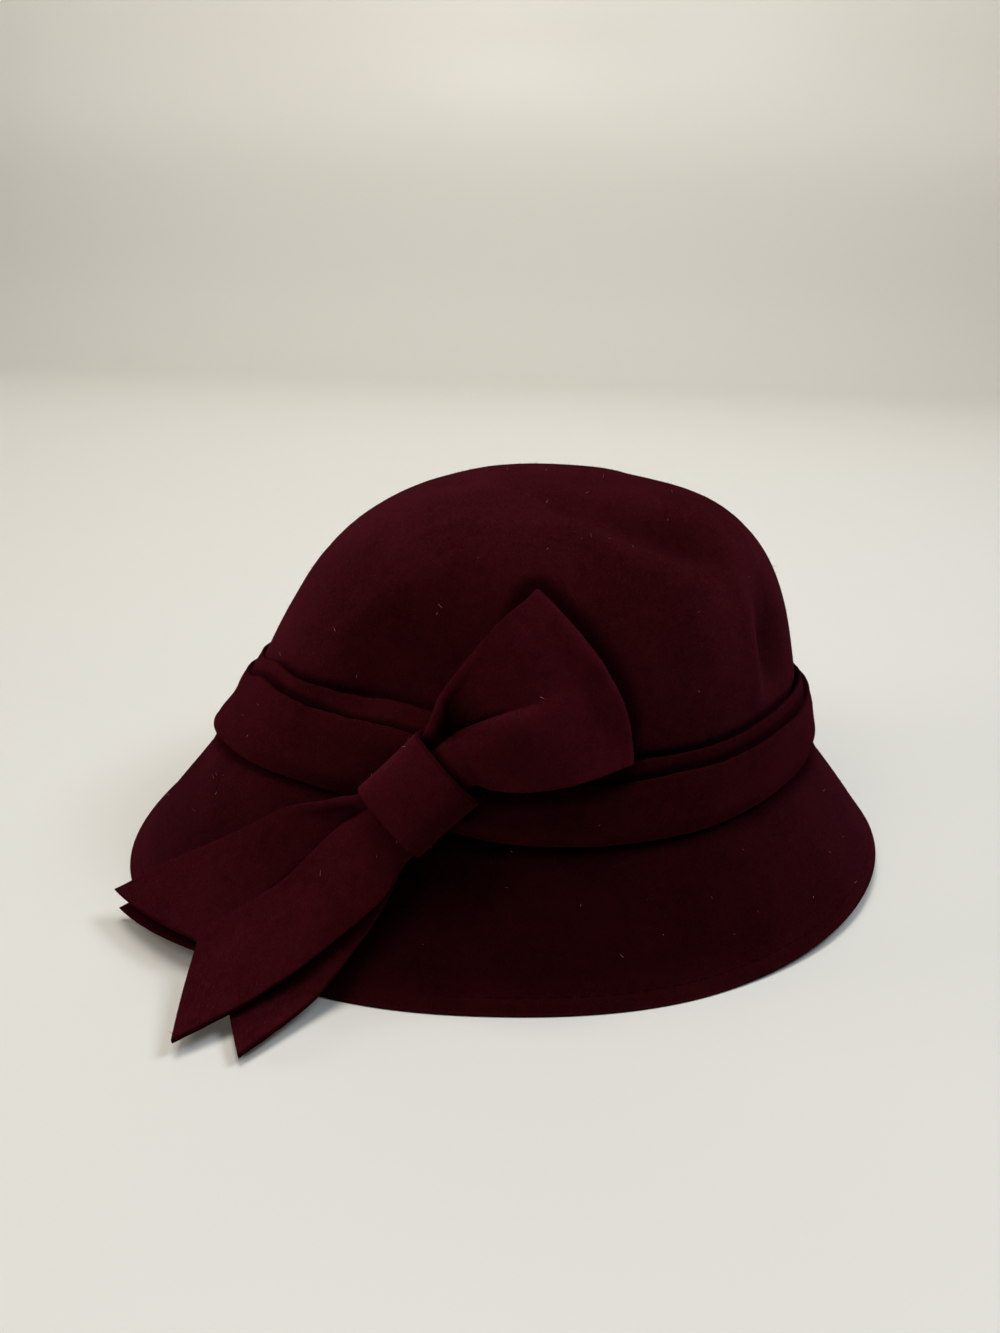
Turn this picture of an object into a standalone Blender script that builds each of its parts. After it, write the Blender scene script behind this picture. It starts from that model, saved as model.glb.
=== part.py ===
"""A felt cloche hat with two bands and a flat bow at the wearer's left.

The hat rests on its brim edge. The front faces -Y, the wearer's left is +X.
Directions round the hat are turns in degrees from the front towards the left.
"""
from math import atan2, cos, degrees, hypot, pi, radians, sin

import bmesh
import bpy
from mathutils import Vector

# Units and felt
mm = 0.001
body_felt = 2.3 * mm
inner_band_felt = 1.5 * mm
outer_band_felt = 2.0 * mm
bow_felt = 2.0 * mm
gap = 0.35 * mm

# The hat's axis, measured from the middle of the whole outline
axis_x = -9.5 * mm
axis_y = 1.2 * mm

# The plan of the hat, a row for each 30 degrees of turn:
# oval: crown wall from the axis at the foot, foot: height where the brim meets the crown,
# spread: how far the brim edge stands out beyond the wall, band: height of the wide band,
# show: how far the narrow band shows above it
plan_turn = 30.0
plan_columns = ("oval", "foot", "spread", "band", "show")
plan_rows = (
    (100.5, 36.0, 31.0, 17.5, 9.0),
    (96.5, 42.0, 36.0, 23.0, 5.5),
    (88.5, 44.0, 35.5, 22.8, 5.8),
    (91.0, 39.5, 25.0, 21.5, 6.0),
    (93.5, 38.5, 24.5, 19.7, 4.8),
    (95.5, 38.0, 30.0, 19.8, 5.6),
    (102.0, 37.5, 31.0, 17.5, 6.5),
    (100.0, 35.5, 31.0, 15.5, 6.5),
    (94.0, 32.0, 30.0, 16.5, 6.5),
    (90.5, 31.0, 29.0, 17.0, 6.5),
    (92.0, 32.0, 30.5, 16.5, 7.0),
    (96.0, 33.0, 30.0, 15.0, 8.0),
)

# The wall flares above the brim at the front
flare = 3.9 * mm
flare_turn = 0.0
flare_width = 42.0
flare_level = 0.2

# Brim: the edge lifts a little off the table at the back left
brim_lift = 2.8 * mm
lift_turn = 150.0
lift_width = 42.0
brim_bell = 0.08

# Crown, above the mean foot
crown_height = 90.3 * mm
crown_taper = 0.238
crown_square = 5.2
crown_round = 2.74
crown_shift = 11.6 * mm
crown_rounding = 0.067

# Dents of the crown: turn and level of the middle, half widths in turn and level, depth
dent_columns = ("turn", "level", "turn_width", "level_width", "depth")
dent_rows = (
    (168.0, 0.62, 9.0, 0.30, 2.6),
    (196.0, 0.97, 34.0, 0.03, 2.0),
    (62.0, 0.62, 24.0, 0.26, 2.2),
)
dent_end = 40.0 * mm

# Bands: bottom above the foot, and how far the wide one leans out at its top
band_start = 0.6 * mm
band_lean = 0.5 * mm
band_fade = 6.0 * mm

# Knot: a felt sleeve on the band, its own axes are along the bow, across it and outwards
knot_turn = 75.0
knot_centre_height = 55.5 * mm
knot_reach = 91.1 * mm
knot_tilt = 11.0
bow_angle = 49.0
knot_length = 24.4 * mm
knot_width = 25.8 * mm
knot_depth = 10.6 * mm
knot_crown = 1.2 * mm
knot_corner = 0.35
knot_sides = 36

# Where the strips run inside the knot, in mm: half width, how far out their two layers are,
# and the places along the bow where they start and where they leave the knot
held_width = 10.0
front_layer = 6.65
back_layer = 4.05
held_start = 2.0
held_end = 12.7

# Edges of the strips of the bow beyond the knot, a row for each section, from the knot outwards:
# turn, reach from the axis and height of the upper edge, then of the lower edge,
# and the depth of the pleats in the section
strip_columns = ("turn_up", "reach_up", "height_up", "turn_low", "reach_low", "height_low", "pleat")
upper_tail_rows = (
    (57.3, 98.5, 46.6, 72.2, 108.2, 29.5, 2.2),
    (50.2, 103.1, 41.4, 70.0, 112.5, 24.2, 2.4),
    (45.7, 110.9, 34.6, 66.3, 120.2, 16.4, 2.2),
    (37.0, 126.0, 20.2, 62.0, 137.9, 8.5, 1.4),
    (33.6, 144.0, 10.0, 58.4, 160.1, 5.0, 0.3),
)
lower_tail_rows = (
    (56.5, 95.5, 43.0, 71.8, 106.8, 26.8, 0.5),
    (50.2, 102.4, 36.5, 70.1, 113.1, 18.5, 0.6),
    (45.4, 109.9, 28.8, 68.6, 118.4, 13.1, 0.5),
    (36.8, 126.4, 13.7, 66.8, 130.1, 6.0, 0.3),
    (33.8, 143.4, 3.5, 64.3, 153.6, 3.0, 0.0),
)
# The loop's rows also say how far apart its two layers are
loop_columns = strip_columns + ("layers",)
loop_rows = (
    (76.9, 87.3, 83.1, 88.3, 98.2, 60.4, 1.8, 4.8),
    (83.6, 82.5, 97.3, 93.2, 99.2, 60.7, 1.6, 5.0),
    (87.3, 79.2, 103.0, 100.9, 97.7, 62.3, 0.8, 4.8),
    (92.2, 74.2, 107.8, 108.6, 95.4, 65.3, 0.2, 3.6),
)
upper_tail_notch = 0.14
lower_tail_notch = 0.13
notch_across = -1 / 6
loop_round = 0.1
loop_belly = 2.5 * mm

# Least horizontal distance of a strip's middle from the hat under it
lower_tail_stand = 2.6 * mm
upper_tail_stand = 6.4 * mm
loop_back_stand = 2.2 * mm
loop_front_stand = 5.4 * mm
stand_softness = 1.0 * mm

# Rise for each unit outwards of the direction in which the strips are thick
radial_rise = 0.45

# Fineness of the faceted solids
columns = 64
brim_steps = 5
crown_steps = 15
inner_steps = 12
strip_steps = 14
loop_steps = 11
fold_steps = 4
strip_width_steps = 12


def spline(rows, place, closed):
    """Row read between the given rows by a smooth curve, place counts in rows."""
    count = len(rows)
    start = int(place // 1)
    if not closed:
        start = min(start, count - 2)
    part = place - start
    picked = []
    for step in (-1, 0, 1, 2):
        index = start + step
        if closed:
            picked.append(rows[index % count])
        elif index < 0:
            picked.append([2 * a - b for a, b in zip(rows[0], rows[1])])
        elif index >= count:
            picked.append([2 * a - b for a, b in zip(rows[-1], rows[-2])])
        else:
            picked.append(rows[index])
    values = []
    for p0, p1, p2, p3 in zip(*picked):
        bend = (2 * p0 - 5 * p1 + 4 * p2 - p3) * part ** 2 + (3 * p1 - p0 - 3 * p2 + p3) * part ** 3
        values.append(p1 + 0.5 * ((p2 - p0) * part + bend))
    return values


def plan(turn):
    """Oval, foot and spread of the hat in one direction, in metres."""
    row = spline(plan_rows, (turn % 360.0) / plan_turn, True)
    return dict(zip(plan_columns, (value * mm for value in row)))


mean_foot = sum(row[1] for row in plan_rows) / len(plan_rows) * mm


def turn_distance(turn, middle):
    """Degrees between two turns, the short way."""
    return abs((turn - middle + 180.0) % 360.0 - 180.0)


def bump(distance, width):
    """A smooth hill, 1 in the middle."""
    return 2.718281828 ** (-((distance / width) ** 2))


def edge_lift(turn):
    """Height of the brim edge above the table."""
    raised = bump(turn_distance(turn, lift_turn), lift_width) - 0.25
    return brim_lift * max(0.0, raised) / 0.75


def wall_flare(turn):
    """How far the wall's foot stands out beyond the oval."""
    return flare * bump(turn_distance(turn, flare_turn), flare_width)


def crown_section(turn, level):
    """Reach and height of the crown's outer face at a level from 0, the foot, to 1, the top."""
    here = plan(turn)
    narrowing = (1.0 - crown_taper * level) * (1.0 - crown_rounding * level * cos(radians(2 * turn)))
    closing = max(0.0, 1.0 - level ** crown_square) ** (1.0 / crown_round)
    flared = wall_flare(turn) * 2.718281828 ** (-level / flare_level)
    reach = (here["oval"] * narrowing + flared) * closing
    height = here["foot"] * (1.0 - level) + (mean_foot + crown_height) * level
    return reach, height


def brim_section(turn, share):
    """Reach and height of the brim's outer face, share 0 at the edge and 1 at the foot."""
    here = plan(turn)
    lift = edge_lift(turn)
    out = here["spread"] * ((1.0 - share) - brim_bell * sin(pi * share))
    return here["oval"] + wall_flare(turn) + out, lift + (here["foot"] - lift) * share


def dent_depth(turn, level):
    """How far the crown is pressed in at a place, less near the middle of its top."""
    depth = 0.0
    top_share = min(1.0, crown_section(turn, level)[0] / dent_end) ** 2
    for row in dent_rows:
        dent = dict(zip(dent_columns, row))
        across = bump(turn_distance(turn, dent["turn"]), dent["turn_width"])
        along = bump(level - dent["level"], dent["level_width"])
        depth += dent["depth"] * mm * across * along
    return depth * top_share


def hat_levels(brim_count, crown_count):
    """Levels from -1, the brim edge, through 0, the foot, to just under 1, the top."""
    levels = [-1.0 + step / brim_count for step in range(brim_count)]
    fine = 400
    path = [crown_section(45.0, step / fine) for step in range(fine + 1)]
    lengths = [0.0]
    for (r0, z0), (r1, z1) in zip(path, path[1:]):
        lengths.append(lengths[-1] + hypot(r1 - r0, z1 - z0))
    for step in range(crown_count):
        wanted = lengths[-1] * step / crown_count
        index = max(i for i, length in enumerate(lengths) if length <= wanted)
        share = (wanted - lengths[index]) / max(lengths[index + 1] - lengths[index], 1e-9)
        levels.append((index + share) / fine)
    return levels


def outer_section(turn, level):
    """Reach and height of the hat's outer face at a level."""
    if level < 0.0:
        return brim_section(turn, 1.0 + level)
    return crown_section(turn, level)


def face_normal(turn, level):
    """Outward normal of the section, as its reach and height parts."""
    step = 0.004
    low = max(-1.0, level - step)
    high = min(1.0 - 1e-6, level + step)
    r0, z0 = outer_section(turn, low)
    r1, z1 = outer_section(turn, high)
    length = hypot(r1 - r0, z1 - z0)
    return (z1 - z0) / length, (r0 - r1) / length


def place(turn, reach, height, level):
    """A point of the hat; the crown leans back as it rises."""
    angle = radians(turn)
    back = crown_shift * max(0.0, level)
    return Vector((axis_x + reach * sin(angle), axis_y + back - reach * cos(angle), height))


def wall_point(turn, level, depth):
    """A point of the felt wall, depth measured inwards from its outer face."""
    reach, height = outer_section(turn, level)
    out, rise = face_normal(turn, level)
    if level <= -1.0:
        return place(turn, reach - depth / max(out, 0.3), height, level)
    inwards = depth + dent_depth(turn, max(level, 0.0))
    return place(turn, reach - inwards * out, height - inwards * rise, level)


def top_point(depth):
    """The middle of the crown's top."""
    height = mean_foot + crown_height - depth
    return Vector((axis_x, axis_y + crown_shift, height))


def new_material(name, colour, roughness):
    """A plain felt material."""
    material = bpy.data.materials.new(name)
    material.use_nodes = True
    shader = material.node_tree.nodes["Principled BSDF"]
    shader.inputs["Base Color"].default_value = (*colour, 1.0)
    shader.inputs["Roughness"].default_value = roughness
    shader.inputs["Metallic"].default_value = 0.0
    return material


def add_object(name, points, faces, material):
    """A closed mesh object with its faces turned outwards."""
    mesh = bpy.data.meshes.new(name)
    mesh.from_pydata([tuple(point) for point in points], [], faces)
    edit = bmesh.new()
    edit.from_mesh(mesh)
    bmesh.ops.recalc_face_normals(edit, faces=edit.faces)
    edit.to_mesh(mesh)
    edit.free()
    mesh.shade_smooth()
    mesh.set_sharp_from_angle(angle=radians(40.0))
    mesh.materials.append(material)
    item = bpy.data.objects.new(name, mesh)
    bpy.context.scene.collection.objects.link(item)
    return item


def column_turns():
    """Turns of the columns of points round the hat."""
    return [360.0 * step / columns for step in range(columns)]


def ring_faces(row_starts, closed):
    """Quads between rows of points that run round the hat."""
    pairs = list(zip(row_starts, row_starts[1:]))
    if closed:
        pairs.append((row_starts[-1], row_starts[0]))
    faces = []
    for low, high in pairs:
        for step in range(columns):
            after = (step + 1) % columns
            faces.append((low + step, low + after, high + after, high + step))
    return faces


def make_hat_body():
    """Crown and brim, one felt shell open below."""
    outer_levels = hat_levels(brim_steps, crown_steps)
    inner_levels = hat_levels(brim_steps, inner_steps)
    rows = [(level, body_felt) for level in reversed(inner_levels)]
    rows += [(level, 0.0) for level in outer_levels]
    points = []
    starts = []
    for level, depth in rows:
        starts.append(len(points))
        points += [wall_point(turn, level, depth) for turn in column_turns()]
    faces = ring_faces(starts, False)
    inner_top = len(points)
    points.append(top_point(body_felt))
    outer_top = len(points)
    points.append(top_point(0.0))
    for step in range(columns):
        after = (step + 1) % columns
        faces.append((inner_top, starts[0] + after, starts[0] + step))
        faces.append((outer_top, starts[-1] + step, starts[-1] + after))
    return add_object("hat_body", points, faces, new_material("body_felt", (0.030, 0.004, 0.009), 0.95))


def band_height(turn):
    """Height of the wide band."""
    return plan(turn)["band"]


def inner_band_height(turn):
    """Height of the narrow band."""
    return plan(turn)["band"] + plan(turn)["show"]


def band_point(turn, rise, outwards):
    """A point at a height above the foot, standing out from the crown wall."""
    here = plan(turn)
    level = rise / (mean_foot + crown_height - here["foot"])
    reach, height = crown_section(turn, level)
    out, up = face_normal(turn, level)
    return place(turn, reach + outwards * out, height + outwards * up, level)


def make_band(name, height_of, stand, felt, lean, material):
    """A closed felt strip round the crown."""
    shares = (0.0, 0.5, 1.0)
    section = [(share, 0.0) for share in shares] + [(share, 1.0) for share in reversed(shares)]
    points = []
    starts = []
    for share, face in section:
        starts.append(len(points))
        for turn in column_turns():
            rise = band_start + (height_of(turn) - band_start) * share
            points.append(band_point(turn, rise, stand + lean * share ** 3 + felt * face))
    return add_object(name, points, ring_faces(starts, True), material)


def make_bands():
    """The narrow strip and the wide band in front of it."""
    material = new_material("band_felt", (0.036, 0.004, 0.010), 0.95)
    make_band("inner_band", inner_band_height, gap, inner_band_felt, 0.0, material)
    outer_stand = 2 * gap + inner_band_felt
    make_band("outer_band", band_height, outer_stand, outer_band_felt, band_lean, material)


def hat_reach(turn, height):
    """Reach of the hat's outermost face at a turn and height, the bands counted in."""
    here = plan(turn)
    bands = 2 * gap + inner_band_felt + outer_band_felt + band_lean
    rise = height - here["foot"]
    if rise <= 0.0:
        lift = edge_lift(turn)
        share = max(0.0, (height - lift) / (here["foot"] - lift))
        return max(brim_section(turn, share)[0], brim_section(turn, 1.0)[0] + bands)
    level = min(0.995, rise / (mean_foot + crown_height - here["foot"]))
    fading = (here["band"] + here["show"] + band_fade - rise) / (here["show"] + band_fade)
    return crown_section(turn, level)[0] + bands * min(1.0, max(0.0, fading))


def settle(point, stand):
    """The point, moved out where it is nearer to the hat than the stand."""
    level = min(0.995, max(0.0, (point.z - mean_foot) / crown_height))
    x = point.x - axis_x
    y = point.y - axis_y - crown_shift * level
    reach = hypot(x, y)
    least = hat_reach(degrees(atan2(x, -y)) % 360.0, point.z) + stand
    wanted = (reach + least + ((reach - least) ** 2 + stand_softness ** 2) ** 0.5) / 2
    grow = wanted / reach
    return Vector((point.x + x * (grow - 1.0), point.y + y * (grow - 1.0), point.z))


def knot_axes():
    """Middle of the knot's back on the band, and the axes along, across and out of the bow."""
    angle = radians(knot_turn)
    tilt = radians(knot_tilt)
    away = Vector((sin(angle), -cos(angle), 0.0))
    level = Vector((cos(angle), sin(angle), 0.0))
    outwards = away * cos(tilt) + Vector((0.0, 0.0, sin(tilt)))
    upwards = Vector((0.0, 0.0, cos(tilt))) - away * sin(tilt)
    bow = radians(bow_angle)
    along = level * cos(bow) + upwards * sin(bow)
    across = upwards * cos(bow) - level * sin(bow)
    centre = Vector((axis_x, axis_y, knot_centre_height)) + away * knot_reach
    return centre, along, across, outwards


def make_bow_knot(material):
    """A felt sleeve with the bow drawn through it."""
    centre, along, across, outwards = knot_axes()
    lengths = [knot_length * (step / 6 - 0.5) for step in range(7)]
    points = []
    starts = []
    rows = [(length, 0.0) for length in lengths] + [(length, bow_felt) for length in reversed(lengths)]
    for length, inset in rows:
        starts.append(len(points))
        bulge = knot_crown * (1.0 - (2 * length / knot_length) ** 2)
        for step in range(knot_sides):
            angle = 2 * pi * (step + 0.5) / knot_sides
            wide = abs(cos(angle)) ** knot_corner * (1 if cos(angle) >= 0 else -1)
            deep = abs(sin(angle)) ** knot_corner * (1 if sin(angle) >= 0 else -1)
            half_wide = knot_width / 2 - inset
            half_deep = knot_depth / 2 - inset + (bulge if deep > 0 else 0.0)
            out = knot_depth / 2 + deep * half_deep
            points.append(centre + along * length + across * wide * half_wide + outwards * out)
    faces = []
    count = len(starts)
    for row in range(count):
        low = starts[row]
        high = starts[(row + 1) % count]
        for step in range(knot_sides):
            after = (step + 1) % knot_sides
            faces.append((low + step, low + after, high + after, high + step))
    return add_object("bow_knot", points, faces, material)


def cylinder_point(turn, reach, height):
    """A point from its turn in degrees and its reach and height in millimetres."""
    angle = radians(turn)
    return Vector((axis_x + reach * mm * sin(angle), axis_y - reach * mm * cos(angle), height * mm))


def held_row(along_mm, out_mm, *more):
    """Row of a strip inside the knot, at a distance along the bow and out of it."""
    centre, along, across, outwards = knot_axes()
    row = []
    for side in (1, -1):
        spot = centre + (along * along_mm + across * side * held_width + outwards * out_mm) * mm
        x = spot.x - axis_x
        y = spot.y - axis_y
        row += [degrees(atan2(x, -y)), hypot(x, y) / mm, spot.z / mm]
    return (*row, *more)


def pleat_profile(across):
    """Shape of the pleats, across from -1, the lower edge, to 1: a roll, then a hollow."""
    return bump(across + 0.25, 0.34) - 0.5 * bump(across - 0.42, 0.22)


def strip_point(rows, place_along, across, fold=1.0):
    """A point of a strip's middle surface."""
    row = dict(zip(loop_columns, spline(rows, place_along, False)))
    share = (across + 1.0) / 2.0
    turn = row["turn_low"] + (row["turn_up"] - row["turn_low"]) * share
    reach = row["reach_low"] + (row["reach_up"] - row["reach_low"]) * share
    height = row["height_low"] + (row["height_up"] - row["height_low"]) * share
    middle = cylinder_point(turn, reach, height)
    return middle + radial(middle) * row["pleat"] * mm * pleat_profile(across) * fold


def radial(point):
    """Direction away from the hat's axis, tipped up a little as the brim is."""
    direction = Vector((point.x - axis_x, point.y - axis_y, 0.0)).normalized()
    return (direction + Vector((0.0, 0.0, radial_rise))).normalized()


def sheet_object(name, grid, material):
    """A closed felt sheet from a grid of points on its middle surface."""
    rows = len(grid)
    width = len(grid[0])
    sides = ([], [])
    for i in range(rows):
        for j in range(width):
            along = grid[min(i + 1, rows - 1)][j] - grid[max(i - 1, 0)][j]
            across = grid[i][min(j + 1, width - 1)] - grid[i][max(j - 1, 0)]
            normal = along.cross(across).normalized()
            sides[0].append(grid[i][j] + normal * bow_felt / 2)
            sides[1].append(grid[i][j] - normal * bow_felt / 2)
    points = sides[0] + sides[1]
    back = rows * width
    faces = []
    for i in range(rows - 1):
        for j in range(width - 1):
            corner = i * width + j
            quad = (corner, corner + 1, corner + width + 1, corner + width)
            faces.append(quad)
            faces.append(tuple(back + index for index in reversed(quad)))
    border = [j for j in range(width)]
    border += [i * width + width - 1 for i in range(1, rows)]
    border += [(rows - 1) * width + j for j in range(width - 2, -1, -1)]
    border += [i * width for i in range(rows - 2, 0, -1)]
    for first, second in zip(border, border[1:] + border[:1]):
        faces.append((first, second, back + second, back + first))
    return add_object(name, points, faces, material)


def settled(point, stand, place_along):
    """A strip's point kept off the hat, except inside the knot."""
    held = min(1.0, max(0.0, place_along - 1.0))
    return point.lerp(settle(point, stand), held)


def notch_depth(across):
    """Depth of the swallow tail's notch, 1 at its deepest and 0 at the two tips."""
    side = 1.0 if across > notch_across else -1.0
    return 1.0 - (across - notch_across) / (side - notch_across)


def make_tail(name, rows, out, notch, stand, material):
    """A pleated strip with a swallow-tailed end."""
    rows = (held_row(-held_start, out, 0.0), held_row(-held_end, out, 0.0)) + rows
    spans = len(rows) - 1
    grid = []
    for i in range(strip_steps + 1):
        line = []
        for j in range(strip_width_steps + 1):
            across = 2.0 * j / strip_width_steps - 1.0
            place_along = spans * (1.0 - notch * notch_depth(across)) * i / strip_steps
            point = strip_point(rows, place_along, across)
            line.append(settled(point, stand, place_along))
        grid.append(line)
    return sheet_object(name, grid, material)


def back_row(row):
    """Row of the loop's back layer, inwards of a front row by the loop's thickness."""
    values = dict(zip(loop_columns, row))
    inwards = values["layers"] / hypot(1.0, radial_rise)
    for name in ("reach_up", "reach_low"):
        values[name] -= inwards
    for name in ("height_up", "height_low"):
        values[name] -= inwards * radial_rise
    return tuple(values[name] for name in loop_columns)


def make_bow_loop(material):
    """A folded strip: front layer, rounded fold, back layer."""
    ends = (held_start, held_end)
    front_rows = tuple(held_row(end, front_layer, 0.0, 0.0) for end in ends) + loop_rows
    back_rows = tuple(held_row(end, back_layer, 0.0, 0.0) for end in ends)
    back_rows += tuple(back_row(row) for row in loop_rows)
    spans = len(front_rows) - 1
    grid = []
    for j in range(strip_width_steps + 1):
        across = 2.0 * j / strip_width_steps - 1.0
        front = []
        back = []
        for i in range(loop_steps + 1):
            share = i / loop_steps
            place_along = spans * share * (1.0 + loop_round * (1.0 - across ** 2))
            outer = strip_point(front_rows, place_along, across)
            free = min(1.0, max(0.0, place_along - 1.0))
            belly = loop_belly * free * sin(pi * share) * (1.0 - across ** 2)
            outer = settled(outer + radial(outer) * belly, loop_front_stand, place_along)
            inner = strip_point(back_rows, place_along, across, 0.0)
            front.append(outer)
            back.append(settled(inner, loop_back_stand, place_along))
        middle = (front[-1] + back[-1]) / 2
        ahead = (front[-1] - front[-2] + back[-1] - back[-2]).normalized()
        reach_out = ahead * (front[-1] - back[-1]).length / 2
        fold = []
        for i in range(1, fold_steps):
            angle = pi * i / fold_steps
            fold.append(middle + (front[-1] - middle) * cos(angle) + reach_out * sin(angle))
        grid.append(front + fold + list(reversed(back)))
    return sheet_object("bow_loop", grid, material)


def make_bow():
    """Loop, knot and the two tails."""
    material = new_material("bow_felt", (0.042, 0.005, 0.013), 0.95)
    make_bow_knot(material)
    make_bow_loop(material)
    make_tail("upper_tail", upper_tail_rows, front_layer, upper_tail_notch, upper_tail_stand, material)
    make_tail("lower_tail", lower_tail_rows, back_layer, lower_tail_notch, lower_tail_stand, material)


for item in list(bpy.data.objects):
    bpy.data.objects.remove(item, do_unlink=True)
make_hat_body()
make_bands()
make_bow()
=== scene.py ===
from math import atan2, cos, degrees, hypot, pi, radians, sin

import bmesh
import bpy
import numpy as np
from mathutils import Matrix, Vector, noise
from mathutils.kdtree import KDTree


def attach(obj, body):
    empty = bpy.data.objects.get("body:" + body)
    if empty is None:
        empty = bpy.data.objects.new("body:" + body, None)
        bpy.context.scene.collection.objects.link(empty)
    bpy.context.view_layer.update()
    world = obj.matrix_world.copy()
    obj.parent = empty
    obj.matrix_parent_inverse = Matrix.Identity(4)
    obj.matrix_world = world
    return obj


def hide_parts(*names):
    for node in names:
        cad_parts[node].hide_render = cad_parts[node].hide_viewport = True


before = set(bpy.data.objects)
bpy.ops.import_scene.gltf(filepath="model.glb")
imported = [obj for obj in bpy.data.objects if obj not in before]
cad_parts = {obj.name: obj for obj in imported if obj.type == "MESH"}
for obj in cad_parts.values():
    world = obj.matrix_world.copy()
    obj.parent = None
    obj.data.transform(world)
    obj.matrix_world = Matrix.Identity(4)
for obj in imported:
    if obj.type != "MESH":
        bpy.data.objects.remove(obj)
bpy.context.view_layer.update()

mm = 0.001

# The felt shell: its axis, how much painted shade its dents get, wall, mesh steps, cut edge and unevenness, how
# the bands press it in except near the front, and over what heights the dents fade out above them
hat = {
    "axis": (-9.5, 1.2),
    "felt": 2.3,
    "dentShade": 0.05,
    "columns": 360,
    "brimRows": 34,
    "crownRows": 84,
    "innerRows": 40,
    "innerBrimRows": 12,
    "brimCrowding": 1.25,
    "edgeRound": 0.55,
    "edgeOut": 0.12,
    "broadWave": 0.32,
    "fineWave": 0.05,
    "fineSize": 3.4,
    "press": 1.1,
    "pressTall": 1.4,
    "freeTurn": 8.0,
    "freeWide": 20.0,
    "hollowSoft": 0.06,
    "hollowFade": 14.0,
    "dentFade": 9.0,
}
levelStep = 0.004

# The plan, a row for each 30 degrees: wall from the axis, height of the foot,
# spread of the brim, height of the wide band, how far the narrow one shows above it
planTurn = 30.0
planNames = ("oval", "foot", "spread", "band", "show")
planRows = (
    (100.5, 36.6, 30.0, 17.0, 7.8),
    (96.5, 42.4, 36.5, 21.1, 5.6),
    (88.5, 43.4, 35.5, 23.4, 5.8),
    (91.0, 39.5, 25.0, 21.5, 6.0),
    (93.5, 38.5, 25.0, 19.7, 4.8),
    (95.5, 38.0, 29.6, 19.8, 5.6),
    (102.0, 37.5, 27.8, 17.5, 6.5),
    (100.0, 35.5, 31.0, 15.5, 6.5),
    (94.0, 32.0, 30.0, 16.5, 6.5),
    (90.5, 31.0, 29.0, 17.0, 6.5),
    (92.0, 32.0, 30.5, 16.5, 7.0),
    (96.0, 33.0, 30.0, 13.6, 6.6),
)

# How the wall's foot flares and lifts, and the crown's section
wall = {
    "flare": 3.9,
    "flareTurn": 22.0,
    "flareWidth": 24.0,
    "flareLevel": 0.2,
    "lift": 3.9,
    "liftTurn": 164.0,
    "liftWidth": 38.0,
    "liftStart": 0.25,
    "backFlare": 2.1,
    "backTurn": 170.0,
    "backWidth": 30.0,
    "backBell": -0.03,
    "shoulder": 1.2,
    "shoulderAt": 0.93,
    "shoulderWide": 0.10,
    "height": 90.3,
    "taper": 0.238,
    "square": 5.2,
    "round": 2.74,
    "lean": 11.6,
    "rounding": 0.067,
    "dentEnd": 40.0,
}

# Dents, and swellings where the depth is below 0: turn and level of the middle,
# half widths in turn and level, depth
dentRows = (
    (154.5, 0.50, 7.5, 0.17, 5.4),
    (143.0, 0.47, 4.0, 0.20, -1.6),
    (196.0, 0.97, 34.0, 0.03, 2.6),
)
# Flattened stretches with a crease round them, the columns as above
hollowRows = (
    (72.0, 0.40, 29.0, 0.44, 7.4),
)
# More dents, each round a spot on the crown: the spot, radius and depth
spotRows = (
    (26.0, 22.0, 124.0, 12.0, 2.6),
    (32.0, 36.0, 122.0, 12.5, 5.2),
    (32.0, 52.0, 118.0, 12.0, 5.6),
)

# Painted shade on the crown's broad hollow beside the loop: turn and level of the
# middle, half widths in turn and level, how much darker
paintedShadeRows = (
    (50.0, 0.46, 17.0, 0.17, 0.22),
    (64.0, 0.62, 15.0, 0.12, 0.16),
)

# The turned-in hem and its stitches
hem = {
    "up": 5.2,
    "groove": 0.16,
    "grooveWidth": 0.9,
    "swell": 0.22,
    "stitches": 172,
    "stitchLong": 2.7,
    "thread": 0.09,
    "pathSteps": 720,
}


def curveBetween(p0, p1, p2, p3, part):
    # a smooth curve from p1 to p2, as part runs from 0 to 1
    bend = (2 * p0 - 5 * p1 + 4 * p2 - p3) * part ** 2 + (3 * p1 - p0 - 3 * p2 + p3) * part ** 3
    return p1 + 0.5 * ((p2 - p0) * part + bend)


def closedCurve(rows, places):
    # rows read round a ring by a smooth curve, places count in rows
    rows = np.asarray(rows, float)
    start = np.floor(places).astype(int)
    near = [rows[(start + step) % len(rows)] for step in (-1, 0, 1, 2)]
    return curveBetween(*near, (places - start)[..., None])


def openCurve(rows, places):
    # the same along a table with two ends, which it may run past
    rows = np.asarray(rows, float)
    rows = np.vstack([2 * rows[0] - rows[1], rows, 2 * rows[-1] - rows[-2]])
    start = np.clip(np.floor(places).astype(int), 0, len(rows) - 4)
    near = [rows[start + step] for step in (0, 1, 2, 3)]
    return curveBetween(*near, (places - start)[..., None])


def named(values, names):
    return {name: values[..., index] for index, name in enumerate(names)}


def hill(distance, width):
    return np.exp(-((distance / width) ** 2))


def turnGap(turns, middle):
    return np.abs((turns - middle + 180.0) % 360.0 - 180.0)


def evenTurns(columns):
    return np.arange(columns) * (360.0 / columns)


def smooth(value):
    value = np.clip(value, 0.0, 1.0)
    return value * value * (3 - 2 * value)


def ripple(points, size, seed):
    # smooth noise from about -1 to 1 at every point, in lumps about as big as size
    shift = Vector((seed * 7.31, seed * 3.17, seed * 5.73))
    flat = np.asarray(points, float).reshape(-1, 3) / size
    values = [noise.noise(Vector(spot) + shift) for spot in flat]
    return np.array(values).reshape(np.shape(points)[:-1])


def ripples(points, *waves):
    # several ripples added up, each with its size, height and seed
    return sum(high * ripple(points, size, seed) for size, high, seed in waves)


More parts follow.
